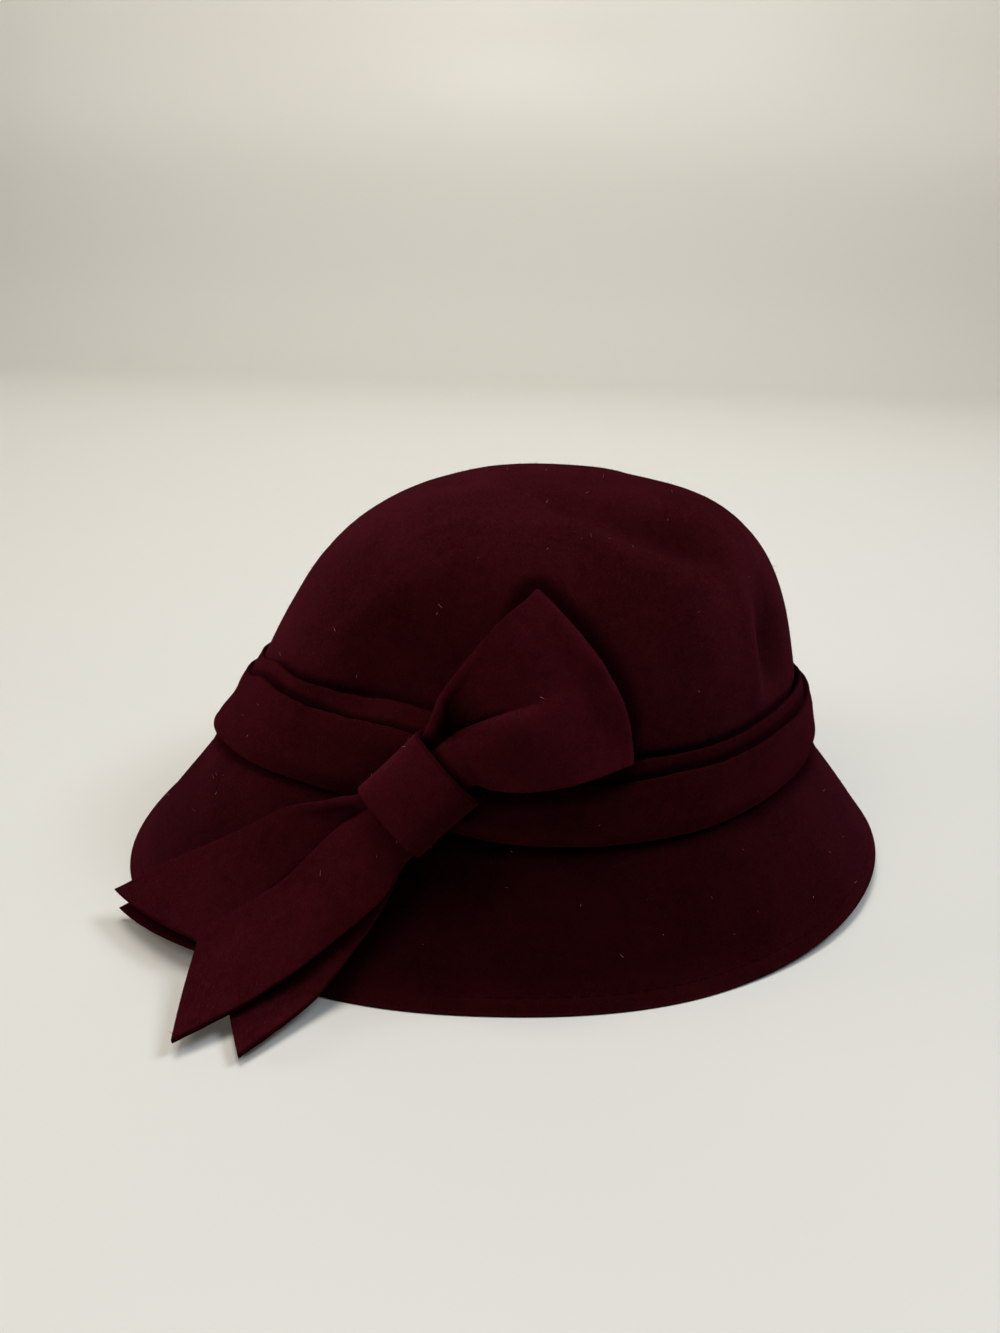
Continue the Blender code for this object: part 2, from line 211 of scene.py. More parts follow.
def planAt(turns):
    return named(closedCurve(planRows, (np.asarray(turns, float) % 360.0) / planTurn), planNames)


meanFoot = sum(row[1] for row in planRows) / len(planRows)
crownTop = meanFoot + wall["height"]


def edgeLift(turns):
    raised = hill(turnGap(turns, wall["liftTurn"]), wall["liftWidth"]) - wall["liftStart"]
    return wall["lift"] * np.maximum(0.0, raised) / (1.0 - wall["liftStart"])


def wallFlare(turns):
    front = wall["flare"] * hill(turnGap(turns, wall["flareTurn"]), wall["flareWidth"])
    return front + wall["backFlare"] * hill(turnGap(turns, wall["backTurn"]), wall["backWidth"])


def crownSection(turns, level):
    here = planAt(turns)
    narrowing = 1.0 - wall["rounding"] * level * np.cos(np.radians(2 * turns))
    narrowing = narrowing * (1.0 - wall["taper"] * level)
    closing = np.maximum(0.0, 1.0 - np.maximum(level, 0.0) ** wall["square"]) ** (1.0 / wall["round"])
    flared = wallFlare(turns) * np.exp(-level / wall["flareLevel"])
    reach = (here["oval"] * narrowing + flared) * closing
    return reach, here["foot"] * (1.0 - level) + crownTop * level


def brimSection(turns, share):
    # share 0 at the edge and 1 at the foot
    here = planAt(turns)
    lift = edgeLift(turns)
    bell = wall["backBell"] * ((1.0 - np.cos(np.radians(turns))) / 2)
    out = here["spread"] * ((1.0 - share) - bell * np.sin(pi * np.maximum(share, 0.0) ** 0.8))
    # a small shoulder at the foot, under the wide band
    past = share - wall["shoulderAt"]
    out = out + wall["shoulder"] * hill(past, wall["shoulderWide"]) * (1.0 - smooth(past / 0.07))
    return here["oval"] + wallFlare(turns) + out, lift + (here["foot"] - lift) * share


def outerSection(turns, level):
    return brimSection(turns, 1.0 + level) if level < 0.0 else crownSection(turns, level)


def outwardParts(low, high):
    # reach and height parts of the normal between two places of a section
    (r0, z0), (r1, z1) = low, high
    length = np.hypot(r1 - r0, z1 - z0)
    return (z1 - z0) / length, (r0 - r1) / length


def sectionNormal(turns, level):
    low, high = max(-1.0, level - levelStep), min(1.0 - 1e-6, level + levelStep)
    return outwardParts(outerSection(turns, low), outerSection(turns, high))


def overBands(turns, level):
    # height above the narrow band's upper edge
    here = planAt(turns)
    return level * (crownTop - here["foot"]) - here["band"] - here["show"]


def hollowDepth(turns, level):
    # the broad hollows, which the bands follow
    depth = np.zeros_like(turns)
    for middle, high, wide, tall, deep in hollowRows:
        inside = 1.0 - (turnGap(turns, middle) / wide) ** 2 - ((level - high) / tall) ** 2
        depth = depth + deep * (inside + np.sqrt(inside ** 2 + hat["hollowSoft"] ** 2)) / 2
    return depth * smooth(overBands(turns, level) / hat["hollowFade"] + 0.8)


def dentDepth(turns, level):
    # all dents and hollows, which fade out at the very top
    topShare = np.minimum(1.0, crownSection(turns, level)[0] / wall["dentEnd"]) ** 2
    depth = np.zeros_like(turns)
    for middle, high, wide, tall, deep in dentRows:
        depth = depth + deep * hill(turnGap(turns, middle), wide) * hill(level - high, tall)
    # the bands hold the crown out where they end
    depth = depth * smooth(overBands(turns, level) / hat["dentFade"] + 0.1) + hollowDepth(turns, level)
    points = place(turns, *crownSection(turns, level), level)
    for x, y, z, wide, deep in spotRows:
        away = np.linalg.norm(points - (x, y, z), axis=-1)
        depth = depth + deep * hill(away, wide) / topShare.clip(0.05)
    return depth * topShare


def place(turns, reach, height, level):
    # the crown leans back as it rises
    angle = np.radians(turns)
    back = wall["lean"] * np.maximum(0.0, level)
    x = hat["axis"][0] + reach * np.sin(angle)
    y = hat["axis"][1] + back - reach * np.cos(angle)
    return np.stack([x, y, height + 0 * x], -1)


def crownLevels(count):
    # levels at even steps along the crown's curve
    fine = np.linspace(0.0, 1.0, 801)
    path = np.array([crownSection(np.array([45.0]), level) for level in fine])[..., 0]
    lengths = np.concatenate([[0.0], np.cumsum(np.hypot(*np.diff(path, axis=0).T))])
    wanted = lengths[-1] * (np.arange(count) / count)
    return list(np.interp(wanted, lengths, fine))


def hemRelief(turns, level):
    # the felt is turned in at the brim edge: a swelling, and a groove along its stitches
    here = planAt(turns)
    up = (1.0 + level) * np.hypot(here["foot"], here["spread"])
    swelling = hem["swell"] * (1.0 - smooth((up - hem["up"] + 1.2) / 1.6))
    return swelling - hem["groove"] * hill(up - hem["up"], hem["grooveWidth"])


def bandPress(turns, level):
    # the bands draw the crown in along their upper edges
    if level < 0.0:
        return 0.0
    over = overBands(turns, level)
    press = hat["press"] * (1.0 - hill(turnGap(turns, hat["freeTurn"]), hat["freeWide"]))
    return press * (hill(over + 0.6, hat["pressTall"]) + smooth(-over / 2.0) * (over > -60.0))


def hatRow(turns, level, depth):
    # a ring of points of the wall, with the depth measured inwards from the outer face
    reach, height = outerSection(turns, level)
    out, rise = sectionNormal(turns, level)
    if level <= -1.0:
        return place(turns, reach - depth / np.maximum(out, 0.3), height, level)
    inwards = depth + dentDepth(turns, max(level, 0.0))
    base = place(turns, reach - inwards * out, height - inwards * rise, level)
    relief = ripples(base, (34.0, 1.0, 1), (15.0, 0.6, 2))
    relief = hat["broadWave"] * relief * smooth((level + 1.0) / 0.25)
    relief = relief + hat["fineWave"] * ripple(base, hat["fineSize"], 3) * smooth((level + 1.0) / 0.1)
    relief = relief - bandPress(turns, level)
    if depth == 0.0 and level < 0.0:
        relief = relief + hemRelief(turns, level) * smooth((level + 1.0) / 0.015)
    angle = np.radians(turns)
    normal = np.stack([out * np.sin(angle), -out * np.cos(angle), rise], -1)
    return base + normal * relief[..., None]


def newObject(name, data):
    made = bpy.data.objects.new(name, data)
    bpy.context.scene.collection.objects.link(made)
    return made


def addPiece(name, points, faces, materials, faceMaterials=None):
    # a smooth mesh piece from points in millimetres
    mesh = bpy.data.meshes.new(name)
    mesh.from_pydata((np.asarray(points, float).reshape(-1, 3) * mm).tolist(), [], faces)
    for material in materials:
        mesh.materials.append(material)
    if faceMaterials is not None:
        mesh.polygons.foreach_set("material_index", faceMaterials)
    edit = bmesh.new()
    edit.from_mesh(mesh)
    bmesh.ops.recalc_face_normals(edit, faces=edit.faces)
    edit.to_mesh(mesh)
    edit.free()
    mesh.shade_smooth()
    return newObject(name, mesh)


def writeShade(piece, shades):
    # how much painted shade darkens the felt material, from 0 to 1, where no earlier painted shade is darker
    data = piece.data.attributes.get("pocket") or piece.data.attributes.new("pocket", "FLOAT", "POINT")
    old = np.zeros(len(piece.data.vertices))
    data.data.foreach_get("value", old)
    data.data.foreach_set("value", np.maximum(old, shades).clip(0.0, 1.0))


def ringFaces(rows, columns, closed):
    # quads between rings of points, and from the last ring to the first where closed
    faces = []
    for row in range(rows if closed else rows - 1):
        low, high = row * columns, ((row + 1) % rows) * columns
        for step in range(columns):
            after = (step + 1) % columns
            faces.append((low + step, low + after, high + after, high + step))
    return faces


# What every felt here shares. The noises are scale, detail, roughness and distortion; ranges
# say between which of their values a tone or strand grows
felt = {
    "clouds": (38.0, 3.0, 0.5, 0.6),
    "cloudRange": (0.32, 0.68),
    "mottle": (320.0, 4.0, 0.62, 0.4),
    "mottleRange": (0.30, 0.72),
    "mottleShare": 0.45,
    "strands": (1.0, 3.0, 0.7, 0.8),
    "strandAngles": ((20, 35, 10), (75, -20, 60), (-40, 80, 130)),
    "strandStretch": (420.0, 2600.0, 2600.0),
    "strandRange": (0.57, 0.72),
    "strandTone": 0.7,
    "strandRise": 0.6,
    "roughness": (0.86, 0.98),
    "sheenRoughness": 0.42,
    # heights bound the body's painted shade low on the brim and painted light at its rim; occlusion and pocket
    # values set painted shade in crevices
    "brimHeights": (0.022, 0.062),
    "rimHeights": (0.001, 0.010),
    "occlusionSamples": 6,
    "occlusionDistance": 0.02,
    "occlusionRange": (0.2, 0.85),
    "occlusionDark": 0.12,
    "pocketDark": 0.15,
    "nap": (2100.0, 3.0, 0.68, 0.5),
    "napDepth": 0.00035,
    "lumps": (260.0, 3.0, 0.55, 0.3),
    "lumpShare": 0.18,
    "lumpDepth": 0.0006,
}
# Felt finishes: the nap's colours, its sheen and how strongly it stands, and for the body the painted shade and
# light:
# how much darker it is low on the brim and lighter high on the crown, and how much lighter along its rim
bodyFelt = {
    "dark": (0.0150, 0.00118, 0.0016),
    "light": (0.0336, 0.0032, 0.0045),
    "fibre": (0.062, 0.0080, 0.0118),
    "sheen": 0.095,
    "sheenTint": (0.64, 0.11, 0.20),
    "nap": 0.5,
    "lowToHigh": (0.66, 1.10),
    "rim": 1.6,
}
bandFelt = {
    "dark": (0.0154, 0.00118, 0.0015),
    "light": (0.0340, 0.0031, 0.0043),
    "fibre": (0.060, 0.0078, 0.0112),
    "sheen": 0.08,
    "sheenTint": (0.66, 0.090, 0.16),
    "nap": 0.55,
}
bowFelt = {
    "dark": (0.0205, 0.0015, 0.0023),
    "light": (0.0440, 0.0040, 0.0064),
    "fibre": (0.076, 0.0098, 0.0160),
    "sheen": 0.07,
    "sheenTint": (0.66, 0.10, 0.20),
    "nap": 0.55,
}


def feltMaterial(name, finish, lighter=1.0):
    # wool felt: clouds of tone, short matted fibres, a napped bump and a soft sheen
    material = bpy.data.materials.new(name)
    material.use_nodes = True
    nodes, links = material.node_tree.nodes, material.node_tree.links
    shader = nodes["Principled BSDF"]
    shader.inputs["Specular IOR Level"].default_value = 0.0
    shader.inputs["Sheen Weight"].default_value = finish["sheen"] * lighter
    shader.inputs["Sheen Roughness"].default_value = felt["sheenRoughness"]
    shader.inputs["Sheen Tint"].default_value = (*finish["sheenTint"], 1.0)
    where = nodes.new("ShaderNodeTexCoord").outputs["Object"]

    def noiseNode(numbers, vector=where):
        node = nodes.new("ShaderNodeTexNoise")
        for name, number in zip(("Scale", "Detail", "Roughness", "Distortion"), numbers):
            node.inputs[name].default_value = number
        links.new(vector, node.inputs["Vector"])
        return node.outputs["Fac"]

    def remap(value, low, high, newLow=0.0, newHigh=1.0):
        node = nodes.new("ShaderNodeMapRange")
        for index, number in zip((1, 2, 3, 4), (low, high, newLow, newHigh)):
            node.inputs[index].default_value = number
        links.new(value, node.inputs[0])
        return node.outputs[0]

    def mixColour(factor, first, second):
        node = nodes.new("ShaderNodeMix")
        node.data_type = "RGBA"
        for socket, value in zip((node.inputs[0], node.inputs[6], node.inputs[7]), (factor, first, second)):
            if isinstance(value, (tuple, float)):
                socket.default_value = value if isinstance(value, float) else (*value, 1.0)
            else:
                links.new(value, socket)
        return node.outputs[2]

    def maths(operation, first, second):
        node = nodes.new("ShaderNodeMath")
        node.operation = operation
        links.new(first, node.inputs[0])
        links.new(second, node.inputs[1])
        return node.outputs[0]

    def turned(angles):
        node = nodes.new("ShaderNodeMapping")
        node.inputs["Rotation"].default_value = tuple(radians(angle) for angle in angles)
        node.inputs["Scale"].default_value = felt["strandStretch"]
        links.new(where, node.inputs["Vector"])
        return node.outputs["Vector"]

    def bump(strength, depth, height):
        node = nodes.new("ShaderNodeBump")
        node.inputs["Strength"].default_value = strength
        node.inputs["Distance"].default_value = depth
        links.new(height, node.inputs["Height"])
        return node

    dark, light, fibre = (tuple(lighter * value for value in finish[name])
                          for name in ("dark", "light", "fibre"))
    clouds = remap(noiseNode(felt["clouds"]), *felt["cloudRange"])
    mottle = remap(noiseNode(felt["mottle"]), *felt["mottleRange"])
    tone = mixColour(clouds, dark, light)
    tone = mixColour(felt["mottleShare"], tone, mixColour(mottle, dark, light))
    # sets of stretched noise make fibres that lie every way
    strands = [remap(noiseNode(felt["strands"], turned(angles)), *felt["strandRange"])
               for angles in felt["strandAngles"]]
    most = strands[0]
    for strand in strands[1:]:
        most = maths("MAXIMUM", most, strand)
    tone = mixColour(remap(most, 0.0, 1.0, 0.0, felt["strandTone"]), tone, fibre)
    # painted shade and light: the body is darker low on the brim and lighter high on the crown, and painted
    # light along its rim
    parts = nodes.new("ShaderNodeSeparateXYZ")
    links.new(where, parts.inputs[0])
    height = parts.outputs[2]
    shade = remap(height, *felt["brimHeights"], *finish.get("lowToHigh", (1.0, 1.0)))
    rim = remap(height, *felt["rimHeights"], finish.get("rim", 1.0), 1.0)
    # painted shade: an ambient occlusion node darkens the felt where two layers lie close, and the pocket
    # attribute adds more painted shade
    occlusionShade = nodes.new("ShaderNodeAmbientOcclusion")
    occlusionShade.samples = felt["occlusionSamples"]
    occlusionShade.inputs["Distance"].default_value = felt["occlusionDistance"]
    pocket = nodes.new("ShaderNodeAttribute")
    pocket.attribute_name = "pocket"
    paintedShade = maths("MULTIPLY", remap(occlusionShade.outputs["AO"], *felt["occlusionRange"], felt["occlusionDark"], 1.0),
                   remap(pocket.outputs["Fac"], 0.0, 1.0, 1.0, felt["pocketDark"]))
    shade = maths("MULTIPLY", maths("MULTIPLY", shade, rim), paintedShade)
    scaled = nodes.new("ShaderNodeVectorMath")
    scaled.operation = "SCALE"
    links.new(tone, scaled.inputs[0])
    links.new(shade, scaled.inputs["Scale"])
    links.new(scaled.outputs[0], shader.inputs["Base Color"])
    links.new(remap(mottle, 0.0, 1.0, *felt["roughness"]), shader.inputs["Roughness"])
    heights = maths("ADD", noiseNode(felt["nap"]), remap(most, 0.0, 1.0, 0.0, felt["strandRise"]))
    fine = bump(finish["nap"], felt["napDepth"], heights)
    broad = bump(felt["lumpShare"], felt["lumpDepth"], noiseNode(felt["lumps"]))
    links.new(fine.outputs["Normal"], broad.inputs["Normal"])
    links.new(broad.outputs["Normal"], shader.inputs["Normal"])
    return material


def plainMaterial(name, colour, roughness, shine=0.5):
    material = bpy.data.materials.new(name)
    material.use_nodes = True
    shader = material.node_tree.nodes["Principled BSDF"]
    shader.inputs["Base Color"].default_value = (*colour, 1.0)
    shader.inputs["Roughness"].default_value = roughness
    shader.inputs["Specular IOR Level"].default_value = shine
    return material


bodyMaterial = feltMaterial("hatFelt", bodyFelt)
bandMaterial = feltMaterial("stripFelt", bandFelt)
# the cut edges take darker copies of their felt, painted shade against the sheen's bright rims, and the sleeve
# a lighter copy, painted light on the knot
bandEdge = feltMaterial("stripCutEdge", bandFelt, 0.8)
bowMaterial = feltMaterial("ribbonFelt", bowFelt)
bowEdge = feltMaterial("ribbonCutEdge", bowFelt, 0.8)
sleeveMaterial = feltMaterial("sleeveFelt", bowFelt, 1.15)


def buildHat():
    # rings from the crown's inner middle down to the brim edge and up again outside
    turns = evenTurns(hat["columns"])
    brimLevels = [-1.0 + (row / hat["brimRows"]) ** hat["brimCrowding"] for row in range(hat["brimRows"])]
    outer = brimLevels + crownLevels(hat["crownRows"])
    inner = [-1.0 + row / hat["innerBrimRows"] for row in range(1, hat["innerBrimRows"])]
    inner += crownLevels(hat["innerRows"])
    rings = [hatRow(turns, level, hat["felt"]) for level in reversed(inner)]
    # the cut lower edge, rounded a little on both sides
    reach, height = brimSection(turns, 0.0)
    out = np.maximum(sectionNormal(turns, -0.999)[0], 0.3)
    thick = (hat["felt"] + hem["swell"]) / out
    soft, edgeOut = hat["edgeRound"], hat["edgeOut"]
    for inwards, up in ((thick, soft), (thick - 0.3 * soft, 0.3 * soft), (thick - soft, 0.0),
                        (soft, 0.0), (0.3 * soft, 0.3 * soft)):
        rings.append(place(turns, reach + edgeOut - inwards, height + up, -1.0))
    shades = [0 * turns] * len(rings)
    for level in outer:
        ring = hatRow(turns, level, 0.0)
        if level <= -1.0:
            ring[:, 2] += soft
            ring[:, :2] += edgeOut * (ring[:, :2] - np.array(hat["axis"])) / reach[:, None]
        rings.append(ring)
        # painted shade in the dents, darker the deeper they are, and from the painted shade rows
        dents = dentDepth(turns, max(level, 0.0)) - hollowDepth(turns, max(level, 0.0))
        shade = hat["dentShade"] * dents.clip(0.0) * (level > 0.0)
        for middle, high, wide, tall, much in paintedShadeRows:
            shade = shade + much * hill(turnGap(turns, middle), wide) * hill(level - high, tall)
        shades.append(shade)
    points = np.concatenate(rings)
    faces = ringFaces(len(rings), hat["columns"], False)
    first, last = len(points), len(points) + 1
    middle = (hat["axis"][0], hat["axis"][1] + wall["lean"])
    points = np.vstack([points, (*middle, crownTop - hat["felt"]), (*middle, crownTop)])
    end = (len(rings) - 1) * hat["columns"]
    for step in range(hat["columns"]):
        after = (step + 1) % hat["columns"]
        faces.append((first, after, step))
        faces.append((last, end + step, end + after))
    piece = addPiece("hatShell", points, faces, [bodyMaterial])
    writeShade(piece, np.concatenate(shades + [np.zeros(2)]))
    return piece


print("hat shell")
hatShell = buildHat()

# How the bands lie: calm rows are turn, width and how far they take away the standing off of
# the upper edges, bumps are turn, width and height of the rises in those edges
bands = {
    "gap": 0.35,
    "innerFelt": 1.5,
    "outerFelt": 2.0,
    "innerStart": 6.0,
    "outerStart": 0.6,
    "hug": 0.85,
    "hugShare": 0.26,
    "openTurn": 5.0,
    "openWide": 28.0,
    "columns": 480,
    "innerSteps": 9,
    "outerSteps": 25,
    "innerLean": 2.3,
    "outerLean": 2.7,
    "frontFlare": 1.5,
    "frontHollow": 0.9,
    "flareTurn": 12.0,
    "flareWide": 15.0,
    "innerCalm": ((78.0, 22.0, 0.6), (14.0, 16.0, 1.2), (-20.0, 25.0, 1.0), (122.0, 40.0, 0.72),
                  (164.0, 13.0, 0.75), (188.0, 18.0, 1.0)),
    "outerCalm": ((78.0, 22.0, 0.6), (14.0, 16.0, 1.3), (-20.0, 25.0, 1.0), (122.0, 40.0, 0.5),
                  (168.0, 16.0, 0.85)),
    "edgeWave": 0.34,
    "faceWave": 0.22,
    "edgeRound": 0.3,
    "shadow": (1.7, 1.9, 0.75),
    "bumps": ((27.0, 9.0, 2.4), (50.0, 9.0, -0.9), (105.0, 8.0, -1.9)),
}


def bandPoint(turns, rise, outwards):
    # a place on a band, its rise measured from the crown's foot and its stand from the crown
    level = rise / (crownTop - planAt(turns)["foot"])
    outwards = outwards - hollowDepth(turns, level)
    reach, height = crownSection(turns, level)
    out, up = outwardParts(crownSection(turns, level - levelStep), crownSection(turns, level + levelStep))
    return place(turns, reach + outwards * out, height + outwards * up, level)


def makeBand(name, start, tall, stand, thick, lean, calmRows, seed):
    # a felt strip round the crown, its cut edges wavy and its top standing off a little
    turns = evenTurns(bands["columns"])
    circle = np.stack([np.cos(np.radians(turns)), np.sin(np.radians(turns)), 0 * turns], -1) * 90.0
    calm = np.ones_like(turns)
    for middle, wide, much in calmRows:
        calm = calm * (1.0 - much * hill(turnGap(turns, middle), wide))
    bumps = sum(up * hill(turnGap(turns, middle), wide) for middle, wide, up in bands["bumps"])
    waves = ripples(circle, (17.0, 1.0, seed), (5.0, 0.8, seed + 1), (2.2, 0.5, seed + 5))
    topWave = bumps + bands["edgeWave"] * waves
    bottomWave = 0.6 * bands["edgeWave"] * ripple(circle, 12.0, seed + 2)
    gape = lean * calm * (1.0 + 0.55 * ripple(circle, 26.0, seed + 3))
    # the section goes up the inner face and down the outer one: share of the height, a little
    # more or less height at the rounded rims, and 0 at the inner face to 1 at the outer
    soft, innerSteps, outerSteps = bands["edgeRound"], bands["innerSteps"], bands["outerSteps"]
    section = [(share, 0.0, 0.0) for share in np.linspace(0.0, 1.0, innerSteps)]
    section += [(1.0, soft * 0.8, 0.22), (1.0, soft, 0.5), (1.0, soft * 0.8, 0.78)]
    section += [(share, 0.0, 1.0) for share in np.linspace(1.0, 0.0, outerSteps)]
    section += [(0.0, -soft * 0.8, 0.78), (0.0, -soft, 0.5), (0.0, -soft * 0.8, 0.22)]
    low = start + bottomWave
    front = hill(turnGap(turns, bands["flareTurn"]), bands["flareWide"]) * (stand > bands["gap"])
    hug = bands["hug"] * (1.0 - hill(turnGap(turns, bands["openTurn"]), bands["openWide"]))
    rings = []
    for share, more, face in section:
        rise = low + (tall(turns) + topWave - low) * share + more
        flare = bands["frontFlare"] * (1 - share) ** 3 - bands["frontHollow"] * np.sin(pi * share) ** 2
        thinned = thick * (1.0 - 0.35 * smooth((share - 0.7) / 0.3) - 0.3 * smooth(1.0 - share / 0.2))
        near = stand - (stand - bands["gap"]) * hug * smooth(1.0 - share / bands["hugShare"])
        outwards = near + gape * share ** 2 + thinned * face + front * flare
        base = bandPoint(turns, rise, outwards)
        outwards = outwards + bands["faceWave"] * ripple(base, 9.0, seed + 4) * share * calm
        rings.append(bandPoint(turns, rise, outwards))
    faces = ringFaces(len(rings), bands["columns"], True)
    lastOuter = innerSteps + 2 + outerSteps
    edgeRows = {*range(innerSteps - 1, innerSteps + 3), *range(lastOuter, lastOuter + 4)}
    kinds = [int(row in edgeRows) for row in range(len(rings)) for _ in turns]
    return addPiece(name, np.concatenate(rings), faces, [bandMaterial, bandEdge], kinds)


print("bands")
innerBand = makeBand("narrowBand", bands["innerStart"],
                     lambda turns: planAt(turns)["band"] + planAt(turns)["show"],
                     bands["gap"], bands["innerFelt"], bands["innerLean"], bands["innerCalm"], 11)
outerBand = makeBand("wideBand", bands["outerStart"], lambda turns: planAt(turns)["band"],
                     2 * bands["gap"] + bands["innerFelt"], bands["outerFelt"], bands["outerLean"],
                     bands["outerCalm"], 21)

# The bow: felt strips drawn through a felt sleeve, which the knot sizes give. Rim steps are how
# far a row lies from the sleeve's end, below its outer face and outside its thin inner one
bow = {
    "felt": 2.0,
    "knotTurn": 75.3,
    "knotHeight": 55.4,
    "knotReach": 91.1,
    "knotTilt": 11.0,
    "angle": 49.0,
    "knotLong": 24.4,
    "knotWide": 26.8,
    "knotDeep": 14.0,
    "knotCrown": 1.9,
    "knotCorner": 0.58,
    "knotDim": 0.5,
    "knotBack": 1.6,
    "knotWaist": 0.35,
    "knotWave": 0.20,
    "knotSides": 112,
    "knotRows": 26,
    "rimSteps": ((0.06, 0.35, 0.2), (0.28, 0.1, 0.05)),
    "rimWide": 0.75,
    "rimThin": 0.7,
    "heldWides": (10.3, 10.3, 11.0),
    "frontLayer": 8.2,
    "backLayer": 3.7,
    "rise": 0.45,
    "softness": 1.0,
    "edgeThins": (0.70, 0.90, 0.99),
    "notchAcross": -1 / 6,
    "edgeWave": 0.22,
    "faceWave": 0.14,
    "acrossSteps": 60,
    "alongSteps": 104,
}
heldPlaces = (2.0, 8.0, 13.8)  # along the bow from its middle, inside the sleeve
frontPoint = np.array((325.9, 1.2, 187.8))

# Rows of a strip from the sleeve outwards: turn, reach and height of its upper edge, then of
# its lower edge. After them, where across the strip its roll ends, from -1 to 1, how high the
# roll is, how deep the hollow beside it lies, how far that is tucked under the roll, and how
# high the upper rim curls
stripNames = ("turnUp", "reachUp", "heightUp", "turnLow", "reachLow", "heightLow",
              "ridge", "roll", "hollow", "tuck", "rim")
upperTailRows = (
    (61.8, 99.0, 50.1, 73.3, 104.4, 35.1, 0.50, 3.6, 2.6, 0.14, 1.8),
    (57.3, 98.5, 46.6, 72.2, 108.2, 29.5, 0.42, 4.4, 2.7, 0.14, 1.0),
    (50.2, 103.1, 41.4, 70.0, 112.5, 24.2, 0.16, 4.2, 2.6, 0.10, 0.2),
    (45.7, 110.9, 34.6, 66.3, 120.2, 16.4, 0.02, 3.2, 1.7, 0.05, 0.0),
    (37.0, 126.0, 20.2, 62.0, 137.9, 8.5, -0.10, 1.2, 0.5, 0.0, 0.0),
    (33.6, 144.0, 10.0, 58.4, 160.1, 5.0, -0.14, 0.3, 0.0, 0.0, 0.0),
)
lowerTailRows = (
    (61.2, 95.9, 48.0, 73.0, 102.1, 33.6, 0.44, 0.9, 0.8, 0.0, 0.0),
    (56.5, 95.5, 43.0, 71.8, 106.8, 26.8, 0.38, 1.2, 0.9, 0.0, 0.0),
    (50.2, 102.4, 36.5, 70.1, 113.1, 18.5, 0.18, 1.2, 0.8, 0.0, 0.0),
    (45.4, 109.9, 28.8, 68.6, 118.4, 13.1, 0.02, 0.9, 0.6, 0.0, 0.0),
    (36.8, 126.4, 13.7, 66.8, 130.1, 6.0, 0.0, 0.4, 0.3, 0.0, 0.0),
    (33.8, 143.4, 3.5, 64.3, 153.6, 3.0, 0.0, 0.0, 0.0, 0.0, 0.0),
)
loopRows = (
    (76.0, 91.3, 77.5, 86.2, 98.3, 60.6, 0.36, 2.6, 4.4, 0.20, 2.4),
    (76.9, 87.3, 83.1, 88.3, 98.2, 60.4, 0.22, 2.8, 5.0, 0.16, 1.2),
    (83.6, 82.5, 97.3, 93.2, 99.2, 60.7, -0.02, 1.5, 3.0, 0.05, 0.2),
    (87.3, 79.2, 103.0, 100.9, 97.7, 62.3, -0.08, 0.8, 0.8, 0.0, 0.0),
    (92.2, 74.2, 107.8, 108.6, 95.4, 65.3, 0.0, 0.2, 0.0, 0.0, 0.0),
)
# Tails: pocket is where the painted shade in the pocket fades out and dim the painted shade over the half
# beyond the roll
tails = {
    "pocket": (2.2, 5.0),
    "dim": 0.34,
    "upperStand": 6.4,
    "lowerStand": 2.6,
    "upperNotch": 0.105,
    "lowerNotch": 0.0975,
    "upperHeld": ((0.56, 0.4, 0.4, 0.0, 0.2), (0.56, 0.6, 0.6, 0.0, 0.4), (0.56, 1.6, 1.3, 0.08, 1.2)),
    "lowerHeld": ((0.50, 0.2, 0.3, 0.0, 0.0), (0.50, 0.2, 0.3, 0.0, 0.0), (0.50, 0.4, 0.6, 0.0, 0.0)),
}
# The loop: pocket is where the painted shade in its pocket fades out, foldShade the painted shade as it turns
# over, shadow its painted shadow
loop = {
    "heldLows": (9.4, 8.8, 7.6),
    "frontLayer": 9.5,
    "frontStand": 5.4,
    "backStand": 1.35,
    "lifts": (0.0, 0.0, 1.2, 3.8, 5.0, 8.2, 8.2, 5.0),
    "lowerDrop": 0.45,
    "backLifts": (0.0, 0.0, 0.0, 0.4, 0.9, 1.2, 1.0, 0.4),
    "belly": 2.0,
    "round": 0.1,
    "layers": (5.0, 5.4, 5.4, 4.8, 3.6),
    "heldFolds": ((0.40, 0.3, 0.4, 0.0, 0.2), (0.40, 0.8, 0.8, 0.0, 0.4), (0.40, 2.1, 2.4, 0.14, 1.2)),
    "foldSteps": 12,
    "turnOver": 0.22,
    "foldShade": 0.9,
    "shadow": (4.6, 3.6, 0.8),
    "pocket": (2.5, 5.0),
}


def hatReach(turns, height):
    # reach of the hat's outermost face at a turn and height, the bands counted in
    here = planAt(turns)
    stand = 2 * bands["gap"] + bands["innerFelt"] + bands["outerFelt"] + 0.5
    rise = height - here["foot"]
    lift = edgeLift(turns)
    share = np.maximum(0.0, (height - lift) / (here["foot"] - lift))
    below = np.maximum(brimSection(turns, np.minimum(share, 1.0))[0], brimSection(turns, 1.0)[0] + stand)
    level = np.clip(rise / (crownTop - here["foot"]), 0.0, 0.995)
    fading = (here["band"] + here["show"] + 6.0 - rise) / (here["show"] + 6.0)
    above = crownSection(turns, level)[0] + stand * np.clip(fading, 0.0, 1.0)
    return np.where(rise <= 0.0, below, above)


def settle(points, stand):
    # points moved out where they are nearer to the hat than the stand
    level = np.clip((points[..., 2] - meanFoot) / wall["height"], 0.0, 0.995)
    x = points[..., 0] - hat["axis"][0]
    y = points[..., 1] - hat["axis"][1] - wall["lean"] * level
    reach = np.hypot(x, y)
    least = hatReach(np.degrees(np.arctan2(x, -y)) % 360.0, points[..., 2]) + stand
    wanted = (reach + least + np.sqrt((reach - least) ** 2 + bow["softness"] ** 2)) / 2
    grow = wanted / reach - 1.0
    return points + np.stack([x * grow, y * grow, 0 * x], -1)


